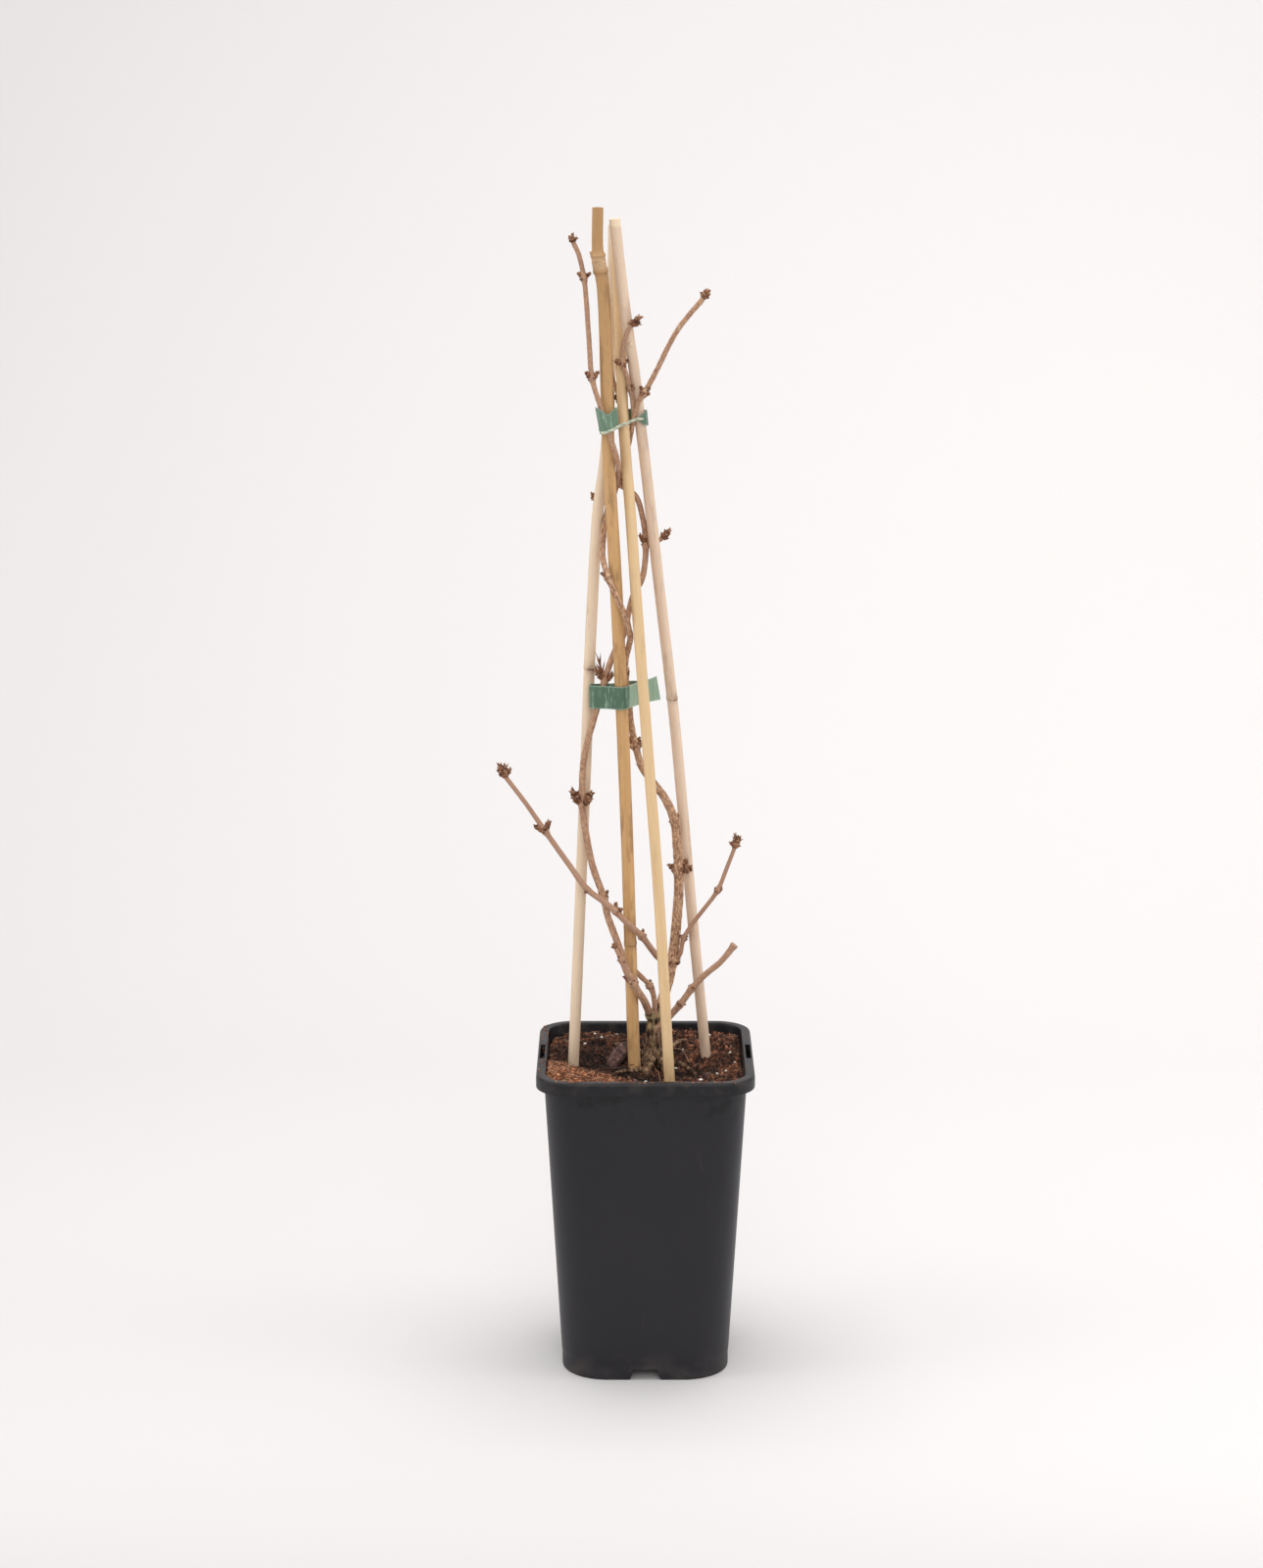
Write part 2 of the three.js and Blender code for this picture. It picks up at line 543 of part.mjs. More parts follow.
// A scaly bud: a pointed body with outer scales that stand off it, its root sunk in the stem
function budBody(at, shape) {
  const { length, width } = shape;
  const radius = width / 2;
  const outline = BUD_SECTION.map(([out, along]) => new THREE.Vector2(out * radius, along * length));
  const body = new THREE.LatheGeometry(outline, BUD_SIDES);
  const spread = BUD_SCALE;
  const scaleCount = length < 4 ? 1 : Math.min(spread.most, Math.floor(length / spread.spacing));
  const scales = Array.from({ length: scaleCount }, (_, place) => {
    const scale = new THREE.ConeGeometry(radius * spread.width, length * spread.length, 3);
    scale.translate(0, (length * spread.length) / 2, 0);
    scale.rotateZ(-spread.lean);
    scale.translate(radius * spread.out, length * (spread.low + spread.rise * place), 0);
    scale.rotateY((place * Math.PI * 2) / scaleCount + 0.5);
    return scale;
  });
  const aim = direction(shape);
  const turn = new THREE.Quaternion().setFromUnitVectors(new THREE.Vector3(0, 1, 0), aim);
  const place = new THREE.Matrix4().compose(at, turn, new THREE.Vector3(1, 1, 1));
  return joined([body, ...scales].map((geometry) => solid(geometry.applyMatrix4(place))));
}

// A stem with its knots and buds; a side twig is the same again
function stemSolids({ route, radii, knots, tip, cutEnd, roughness = 0.04 }, growth = 0) {
  const line = smoothRoute(route);
  const marks = knots.map((knot) => line.marks[knot.at]);
  const radiusAt = (distance) => knots.reduce(
    (sum, knot, i) => sum + swelling(distance, marks[i], knot.swell ?? STEM.knotSwell, STEM.knotReach),
    between(radii, distance / line.length),
  );
  const distances = withKnots(evenDistances(line.length, STEM.step), marks, STEM.knotLoops);
  const seed = Math.round(line.length);
  const body = stemBody(line, distances, radiusAt, { sides: STEM.sides, roughness, seed, growth });
  if (growth > 0) return [body];
  const buds = knots.flatMap((knot, i) => {
    const at = line.curve.getPointAt(shareOf(line, marks[i]));
    return knot.buds.map((shape) => {
      const out = radiusAt(marks[i]) * BUD_SINK;
      return budBody(at.clone().addScaledVector(direction(shape), out), shape);
    });
  });
  const end = line.curve.getPointAt(1);
  const endBuds = cutEnd ? [] : tip.map((shape) => budBody(end, shape));
  return [body, ...buds, ...endBuds];
}

function wholeStem(stem) {
  const twigs = stem.twigs.flatMap((twig) => stemSolids({ ...twig, roughness: stem.roughness }));
  return joined([...stemSolids(stem), ...twigs]);
}

// The rootstock, or with some growth the room that it needs in the soil
function crownBody(growth = 0) {
  const limb = ({ route, radii }, step, seed) => {
    const line = smoothRoute(route);
    const radiusAt = (distance) => between(radii, distance / line.length);
    const shape = { sides: ROOT.sides, roughness: ROOT.roughness, seed, growth };
    return stemBody(line, evenDistances(line.length, step), radiusAt, shape);
  };
  return joined([
    limb(CROWN.trunk, ROOT.trunkStep, 3),
    ...CROWN.limbs.map((shape, i) => limb(shape, ROOT.limbStep, 11 + i)),
    ...CROWN.roots.map((shape, i) => limb(shape, ROOT.step, 21 + i)),
  ]);
}

// One turn of a square with round corners
function roundedSquare(halfWidth, corner, z, perCorner = 6) {
  const centre = halfWidth - corner;
  return [0, 1, 2, 3].flatMap((quarter) => {
    const signX = quarter === 0 || quarter === 3 ? 1 : -1;
    const signY = quarter < 2 ? 1 : -1;
    return Array.from({ length: perCorner + 1 }, (_, step) => {
      const angle = (quarter + step / perCorner) * (Math.PI / 2);
      return [signX * centre + corner * Math.cos(angle), signY * centre + corner * Math.sin(angle), z];
    });
  });
}

function wallHalfWidth(z) {
  const share = (z - POT.stepHeight) / (POT.height - POT.lipHeight - POT.stepHeight);
  return THREE.MathUtils.lerp(POT.footWidth / 2 + POT.stepDepth, POT.wallTopWidth / 2, share);
}

function wallCorner(z) {
  return THREE.MathUtils.lerp(POT.footCorner, POT.rimCorner - POT.wallCornerInset, z / POT.height);
}

// A level loop of the wall, set in from its outer face
function wallLoop(z, inset) {
  return roundedSquare(wallHalfWidth(z) - inset, wallCorner(z) - inset, z);
}

function potBody() {
  const { height, lipHeight, wall, footCorner, rimCorner, stepHeight, floorUnderside } = POT;
  const foot = POT.footWidth / 2;
  const rim = POT.rimWidth / 2;
  const floorTop = floorUnderside + POT.floorThickness;
  const floorInset = FOOT_SECTION[1][0];
  const loops = [
    ...FOOT_SECTION.map(([inset, z]) => roundedSquare(foot - inset, footCorner - inset, z)),
    roundedSquare(foot, footCorner, stepHeight),
    wallLoop(stepHeight + POT.stepDepth, 0),
    wallLoop(height - lipHeight - 3, 0),
    wallLoop(height - POT.underLip, 0),
    ...LIP_SECTION.map(([inset, down]) => roundedSquare(rim - inset, rimCorner - inset, height - down)),
    wallLoop(height, wall - 0.2),
    wallLoop(height - 0.8, wall),
    wallLoop(floorTop + 3, wall),
    roundedSquare(foot - floorInset, footCorner - floorInset, floorTop),
  ];
  const shell = loft(loops, [0, 0, floorUnderside], [0, 0, floorTop]);
  const padHeight = floorUnderside + POT.floorThickness / 2;
  const pad = new THREE.CylinderGeometry(POT.padRadius, POT.padRadius, padHeight, 24);
  pad.rotateX(Math.PI / 2);
  pad.translate(0, 0, padHeight / 2);
  const cuts = [...footNotches(), ...drainHoles(floorTop), ...lipSlots()];
  return cuts.reduce((body, cut) => body.subtract(cut), shell.add(solid(pad)));
}

// A gap in the foot in the middle of each side, narrower at its top
function footNotches() {
  const { width, topWidth, height, depth } = POT.notch;
  const below = 1;
  const flare = ((width - topWidth) / 2) * (below / height);
  const outline = new THREE.Shape();
  outline.moveTo(-width / 2 - flare, -below);
  outline.lineTo(width / 2 + flare, -below);
  outline.lineTo(topWidth / 2, height);
  outline.lineTo(-topWidth / 2, height);
  outline.closePath();
  return [0, 1, 2, 3].map((side) => {
    const notch = new THREE.ExtrudeGeometry(outline, { depth: depth + 4, bevelEnabled: false });
    notch.rotateX(Math.PI / 2);
    notch.translate(0, -POT.footWidth / 2 + depth, 0);
    notch.rotateZ((side * Math.PI) / 2);
    return solid(notch);
  });
}

function drainHoles(floorTop) {
  const { radius, outFromMiddle } = POT.drainHole;
  return [45, 135, 225, 315].map((degrees) => {
    const angle = THREE.MathUtils.degToRad(degrees);
    const hole = new THREE.CylinderGeometry(radius, radius, POT.floorThickness * 4, 16);
    hole.rotateX(Math.PI / 2);
    hole.translate(outFromMiddle * Math.cos(angle), outFromMiddle * Math.sin(angle), floorTop);
    return solid(hole);
  });
}

// A long slot in the top of the lip at the left and the right
function lipSlots() {
  const { length, width, inFromRim, depth } = POT.slot;
  return [-1, 1].map((side) => {
    const slot = new THREE.BoxGeometry(width, length, depth * 2);
    slot.translate(side * (POT.rimWidth / 2 - inFromRim), 0, POT.height);
    return solid(slot);
  });
}

// Soil relief: smooth value noise on a seeded lattice
function latticeNoise(cell, seed) {
  const size = 64;
  const random = randomSeries(seed);
  const values = Array.from({ length: size * size }, () => 2 * random() - 1);
  const value = (i, j) => values[(((j % size) + size) % size) * size + (((i % size) + size) % size)];
  const ease = (t) => t * t * (3 - 2 * t);
  return (x, y) => {
    const i = Math.floor(x / cell);
    const j = Math.floor(y / cell);
    const u = ease(x / cell - i);
    const v = ease(y / cell - j);
    const low = THREE.MathUtils.lerp(value(i, j), value(i + 1, j), u);
    const high = THREE.MathUtils.lerp(value(i, j + 1), value(i + 1, j + 1), u);
    return THREE.MathUtils.lerp(low, high, v);
  };
}

// Heaps and hollows of the soil, each with its middle, its reach and its height
const SOIL_FORMS = [
  { x: 5, y: 14, reach: 13, height: 2.5 },
  { x: -16, y: 8, reach: 14, height: -3.5 },
  { x: 25, y: -8, reach: 17, height: -4.5 },
  { x: 24, y: 52, reach: 20, height: 4.5 },
  { x: -34, y: 52, reach: 22, height: 3.5 },
  { x: 52, y: 42, reach: 18, height: 3 },
  { x: 50, y: -38, reach: 22, height: 3 },
  { x: -52, y: 20, reach: 16, height: 2 },
  { x: 4, y: -46, reach: 14, height: 0.5 },
];

// The heap of loose fibre at the front left ends in a steep edge along this line
const HEAP_EDGE = { x: -38, y: -28, facing: 228, height: 7 };

const coarseNoise = latticeNoise(7.5, 5);
const fineNoise = latticeNoise(3.7, 9);

function soilHeight(x, y) {
  const forms = SOIL_FORMS.reduce((sum, form) => {
    const squared = ((x - form.x) ** 2 + (y - form.y) ** 2) / form.reach ** 2;
    return sum + form.height * Math.exp(-squared);
  }, 0);
  const facing = THREE.MathUtils.degToRad(HEAP_EDGE.facing);
  const past = (x - HEAP_EDGE.x) * Math.cos(facing) + (y - HEAP_EDGE.y) * Math.sin(facing);
  const heap = HEAP_EDGE.height * THREE.MathUtils.smoothstep(past, -5.5, 2.5);
  return SOIL.level + forms + heap + 0.9 * coarseNoise(x, y) + 0.6 * fineNoise(x, y);
}

// A block whose top is the soil's relief, to be cut down to the inside of the pot
function reliefBlock() {
  const { reliefHalf: half, cells } = SOIL;
  const deep = -5;
  const line = Array.from({ length: cells + 1 }, (_, i) => -half + (2 * half * i) / cells);
  const ground = new THREE.PlaneGeometry(2 * half, 2 * half, cells, cells);
  const place = ground.attributes.position;
  for (let i = 0; i < place.count; i += 1) {
    place.setZ(i, soilHeight(place.getX(i), place.getY(i)));
  }
  const side = [
    ...line.slice(0, -1).map((x) => [x, -half]),
    ...line.slice(0, -1).map((y) => [half, y]),
    ...line.slice(1).reverse().map((x) => [x, half]),
    ...line.slice(1).reverse().map((y) => [-half, y]),
  ];
  const positions = [...place.array];
  const index = [...ground.index.array];
  const add = (x, y, z) => {
    positions.push(x, y, z);
    return positions.length / 3 - 1;
  };
  const middle = add(0, 0, deep);
  side.forEach(([x, y], i) => {
    const [nextX, nextY] = side[(i + 1) % side.length];
    const top = add(x, y, soilHeight(x, y));
    const nextTop = add(nextX, nextY, soilHeight(nextX, nextY));
    const low = add(x, y, deep);
    const nextLow = add(nextX, nextY, deep);
    index.push(low, nextLow, nextTop, low, nextTop, top, middle, nextLow, low);
  });
  const geometry = new THREE.BufferGeometry();
  geometry.setAttribute('position', new THREE.Float32BufferAttribute(positions, 3));
  geometry.setIndex(index);
  return solid(geometry);
}

// Chips of bark that lie in the soil, half sunk: middle, length, width, turn in plan and slope
const BARK_CHIPS = [
  [-17.5, 15, 22, 10, 62, 30], [36, -30, 9, 6, 20, 10], [-30, 42, 9, 6, 80, 12], [-6, -38, 9, 5, 150, 10],
];

function barkChips() {
  return BARK_CHIPS.map(([x, y, length, width, turn, slope]) => {
    const chip = new THREE.IcosahedronGeometry(1, 0);
    chip.scale(length / 2, width / 2, 2.2);
    chip.rotateY(-THREE.MathUtils.degToRad(slope));
    chip.rotateZ(THREE.MathUtils.degToRad(turn));
    chip.translate(x, y, soilHeight(x, y) + 0.6);
    return solid(chip);
  });
}

function soilBody(crownHole) {
  const inset = POT.wall + CLEARANCE;
  const floor = POT.floorUnderside + POT.floorThickness + CLEARANCE;
  const floorInset = FOOT_SECTION[1][0] + 2 * CLEARANCE;
  const top = POT.height - SOIL.belowTop;
  const inside = loft(
    [
      roundedSquare(POT.footWidth / 2 - floorInset, POT.footCorner - floorInset, floor),
      wallLoop(floor + 3, inset),
      wallLoop(top, inset),
    ],
    [0, 0, floor],
    [0, 0, top],
  );
  const ground = joined([reliefBlock(), ...barkChips()]).intersect(inside);
  const overCrown = crownHole.translate([0, 0, 6 * CLEARANCE]);
  const holes = [...Object.values(CANES).map(caneHole), crownHole, overCrown];
  return largest(holes.reduce((body, hole) => body.subtract(hole), ground));
}

// A strip of tape through pairs of edge points
function tapeBody(points, closed) {
  const count = points.length;
  const corners = points.map(([low, high], i) => {
    const [before] = points[closed ? (i + count - 1) % count : Math.max(i - 1, 0)];
    const [after] = points[closed ? (i + 1) % count : Math.min(i + 1, count - 1)];
    const along = new THREE.Vector2(after[0] - before[0], after[1] - before[1]).normalize();
    const outX = (along.y * TAPE_THICKNESS) / 2;
    const outY = (-along.x * TAPE_THICKNESS) / 2;
    return [
      [low[0] + outX, low[1] + outY, low[2]], [high[0] + outX, high[1] + outY, high[2]],
      [high[0] - outX, high[1] - outY, high[2]], [low[0] - outX, low[1] - outY, low[2]],
    ];
  });
  const index = [];
  const spans = closed ? count : count - 1;
  for (let i = 0; i < spans; i += 1) {
    for (let edge = 0; edge < 4; edge += 1) {
      const a = i * 4 + edge;
      const b = i * 4 + ((edge + 1) % 4);
      const c = ((i + 1) % count) * 4 + edge;
      const d = ((i + 1) % count) * 4 + ((edge + 1) % 4);
      index.push(a, c, d, a, d, b);
    }
  }
  if (!closed) {
    const end = (count - 1) * 4;
    index.push(0, 1, 2, 0, 2, 3, end, end + 2, end + 1, end, end + 3, end + 2);
  }
  const geometry = new THREE.BufferGeometry();
  geometry.setAttribute('position', new THREE.Float32BufferAttribute(corners.flat(2), 3));
  geometry.setIndex(index);
  return solid(geometry);
}

// The plant, the pot and what is in it
const plant = new THREE.Group();

const crown = crownBody();
const crownHole = crownBody(CLEARANCE);
plant.add(namedMesh('pot', potBody(), 0x25262c, 0.42));
plant.add(namedMesh('soil', soilBody(crownHole), 0x4b2e21, 0.95));
plant.add(namedMesh('crown', crown, CROWN.colour, 0.9));

for (const [name, cane] of Object.entries(CANES)) {
  plant.add(namedMesh(name, caneBody(cane), cane.colour, 0.55));
}

// What each stem grows from, with a fine gap left at the joint
const growsFrom = {
  vine_left: [crownHole],
  vine_right: [crownHole],
  shoot_far_left: stemSolids(STEMS.vine_right, CLEARANCE),
  shoot_stub: [crownHole],
  shoot_right_upper: stemSolids(STEMS.vine_right, CLEARANCE),
  shoot_right_lower: [crownHole],
};
const caneRoom = Object.values(CANES).map((cane) => caneBody(cane, CLEARANCE));
for (const [name, stem] of Object.entries(STEMS)) {
  const cuts = [...growsFrom[name], ...caneRoom];
  const trimmed = cuts.reduce((body, cut) => body.subtract(cut), wholeStem(stem));
  plant.add(namedMesh(name, largest(trimmed), stem.colour, 0.8));
}

for (const [name, tie] of Object.entries(TIES)) {
  const body = joined(tie.strips.map((strip) => tapeBody(strip, tie.closed)));
  plant.add(namedMesh(name, body, tie.colour, 0.5));
}

export default plant;
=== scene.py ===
"""A young climbing honeysuckle, bare in winter, in a square nursery pot with four bamboo canes.

Places are metres in the frame of the CAD model. Lists of route points are in millimetres,
as on the drawing, and MM turns them into metres.
"""

import bisect
import json
import math
import random

import bmesh
import bpy
from mathutils import Matrix, Vector, noise

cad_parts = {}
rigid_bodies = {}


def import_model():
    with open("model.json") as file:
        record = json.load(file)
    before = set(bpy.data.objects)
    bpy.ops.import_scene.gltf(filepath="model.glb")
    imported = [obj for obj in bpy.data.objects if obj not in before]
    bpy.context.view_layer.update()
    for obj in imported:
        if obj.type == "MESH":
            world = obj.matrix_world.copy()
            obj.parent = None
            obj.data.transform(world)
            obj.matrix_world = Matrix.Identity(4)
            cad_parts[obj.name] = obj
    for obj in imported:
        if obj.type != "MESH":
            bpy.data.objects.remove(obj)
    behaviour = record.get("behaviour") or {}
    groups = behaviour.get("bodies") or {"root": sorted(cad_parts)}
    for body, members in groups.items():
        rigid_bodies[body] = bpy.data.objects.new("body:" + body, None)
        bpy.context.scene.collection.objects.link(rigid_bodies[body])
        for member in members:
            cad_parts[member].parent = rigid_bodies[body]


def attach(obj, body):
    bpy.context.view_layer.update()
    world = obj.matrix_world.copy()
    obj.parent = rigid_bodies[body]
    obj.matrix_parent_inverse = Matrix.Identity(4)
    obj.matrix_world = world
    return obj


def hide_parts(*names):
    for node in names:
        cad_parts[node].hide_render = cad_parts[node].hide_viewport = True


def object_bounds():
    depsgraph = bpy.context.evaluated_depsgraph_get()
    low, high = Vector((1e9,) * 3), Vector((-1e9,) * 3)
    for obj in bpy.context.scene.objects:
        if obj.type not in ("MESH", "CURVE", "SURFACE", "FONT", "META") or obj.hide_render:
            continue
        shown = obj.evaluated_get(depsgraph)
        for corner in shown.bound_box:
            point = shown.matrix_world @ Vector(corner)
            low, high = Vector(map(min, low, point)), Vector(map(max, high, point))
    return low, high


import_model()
CAD_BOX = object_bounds()

bl_info = {
    "name": "Potted honeysuckle",
    "version": (1, 0, 0),
    "blender": (4, 5, 0),
    "location": "3D View > Sidebar > Honeysuckle",
    "description": "Builds the finished surfaces of a potted climbing honeysuckle",
    "category": "Object",
}

MM = 0.001
# How much fuller the scales make a bud than its plain core
BUD_FULLNESS = 1.25

# Route of each cane from its foot to its top, its radius and the rings at its joints
CANES = {
    "cane_left": {
        "route": [
            (-48, -3, 86), (-43.5, -3, 184), (-39, -3, 286), (-34.5, -2.5, 393.5),
            (-32.5, -2.5, 443.5), (-29.5, -2, 499), (-27.5, -1.5, 525), (-24.5, -1.5, 545),
            (-22, -1, 570), (-21, 1.5, 599), (-20, 5, 624), (-19, 8.5, 654.5), (-18.5, 11, 685.5),
        ],
        "radius": 3.3,
        "rings": [(428.8, 0.35)],
    },
    "cane_middle": {
        "route": [
            (-2, -6.5, 97), (-6.5, -8.5, 184), (-11.5, -10.5, 342), (-17, -12.5, 471.5),
            (-21.5, -14, 552.5), (-22.5, -14, 592), (-24.5, -14.5, 651), (-27.5, -15, 671),
            (-27.5, -15, 697),
        ],
        "radius": 3.7,
        "top_radius": 3.2,
        "rings": [(670.5, 0.7), (661, 0.6), (262, 0.25)],
        "joint": 666,
    },
    "cane_front": {
        "route": [
            (21.5, -48, 80), (14.5, -40, 183), (8, -31.5, 293.5), (1, -23.5, 386),
            (-5.5, -16, 472), (-9.5, -10.5, 529), (-11, -9, 546), (-13, -8, 574.5),
            (-14, -5.5, 596.5), (-15, -2, 624.5), (-16.5, 1, 658), (-17, 2.5, 676),
        ],
        "radius": 3.2,
        "rings": [],
    },
    "cane_right": {
        "route": [
            (46, 24.5, 90), (37, 19, 184), (27.5, 13.5, 281.5), (17.5, 7, 391.5), (7.5, 2.5, 479.5),
            (0, -1, 546), (-3.5, -3.5, 575), (-6.5, -7, 601.5), (-10.5, -9.5, 628),
            (-14.5, -11, 659), (-18, -12.5, 690.5),
        ],
        "radius": 3.2,
        "rings": [(408.5, 0.35)],
    },
}

# Rootstock: a trunk that forks above the soil, and the roots that run off under it
CROWN = [
    {
        "route": [(3.5, 13, 164), (4, 12, 184), (5, 9, 197), (6, 5.5, 208.5)],
        "radii": [5, 5.2, 4.2, 4.3],
    },
    {"route": [(6, 6.5, 205), (4, 3.5, 211.5), (2.2, 0, 216.3)], "radii": [3.6, 3.2, 2.8]},
    {"route": [(6, 6.5, 205), (8.5, 7.2, 213), (10.3, 8.3, 219.6)], "radii": [3.9, 3.8, 3.7]},
    {
        "route": [(4.5, 9, 191), (3.5, 1, 188.5), (2, -7, 186), (1, -15, 183.5), (0, -23, 178)],
        "radii": [3, 2.6, 2.2, 1.8, 1.3],
    },
    {
        "route": [
            (2, -7, 186), (-1, -14, 184.5), (-8, -16.5, 184.5), (-16, -18.5, 184), (-24, -19.5, 180),
        ],
        "radii": [1.7, 1.4, 1.3, 1.2, 1],
    },
    {
        "route": [(3, 12, 186), (-5, 22, 184.5), (-15, 33, 185), (-22, 44, 182)],
        "radii": [2.6, 1.8, 1.4, 1.1],
    },
    {
        "route": [(5, 12, 186), (14, 24, 185.5), (21, 36, 186.5), (27, 46, 184)],
        "radii": [2.8, 1.9, 1.4, 1.1],
    },
    {
        "route": [(5, 10, 187), (14, 6, 183.5), (24, 1, 181.5), (33, -8, 177)],
        "radii": [2.7, 1.9, 1.5, 1.1],
    },
]
# Bark that fills the crown out to one trunk with a flaring foot
TRUNK = [
    {
        "route": [
            (4, 7, 177), (4.2, 7, 184), (4.4, 6, 192), (4.6, 5.2, 199), (4.8, 4.8, 205), (5, 5, 210.5),
        ],
        "radii": [7, 6.4, 5.1, 4.4, 4.2, 3.6],
    },
    {
        "route": [(4.4, 7, 192), (3.6, 1, 189), (2.2, -7, 186.3), (1, -15, 183.5), (0, -22, 179)],
        "radii": [3.8, 3.4, 2.9, 2.3, 1.4],
    },
    {
        "route": [(5.5, 6, 190), (9, 0, 186.5), (11, -6, 183.5), (13, -13, 178)],
        "radii": [3.2, 2.5, 1.9, 1.2],
    },
]


def bud(turn, rise, length, width=2.6):
    """A bud that points by a turn in plan, 0 to the right and 90 to the back, and a rise."""
    return {"turn": turn, "rise": rise, "length": length, "width": width}


def pair(turn, rise, length, width):
    return [bud(turn, rise, length, width), bud(turn + 180, rise, length, width)]


def knot(at, *buds, swell=0.5):
    """A joint where leaves grew, at a point of the route, with the buds on it."""
    return {"at": at, "buds": list(buds), "swell": swell}


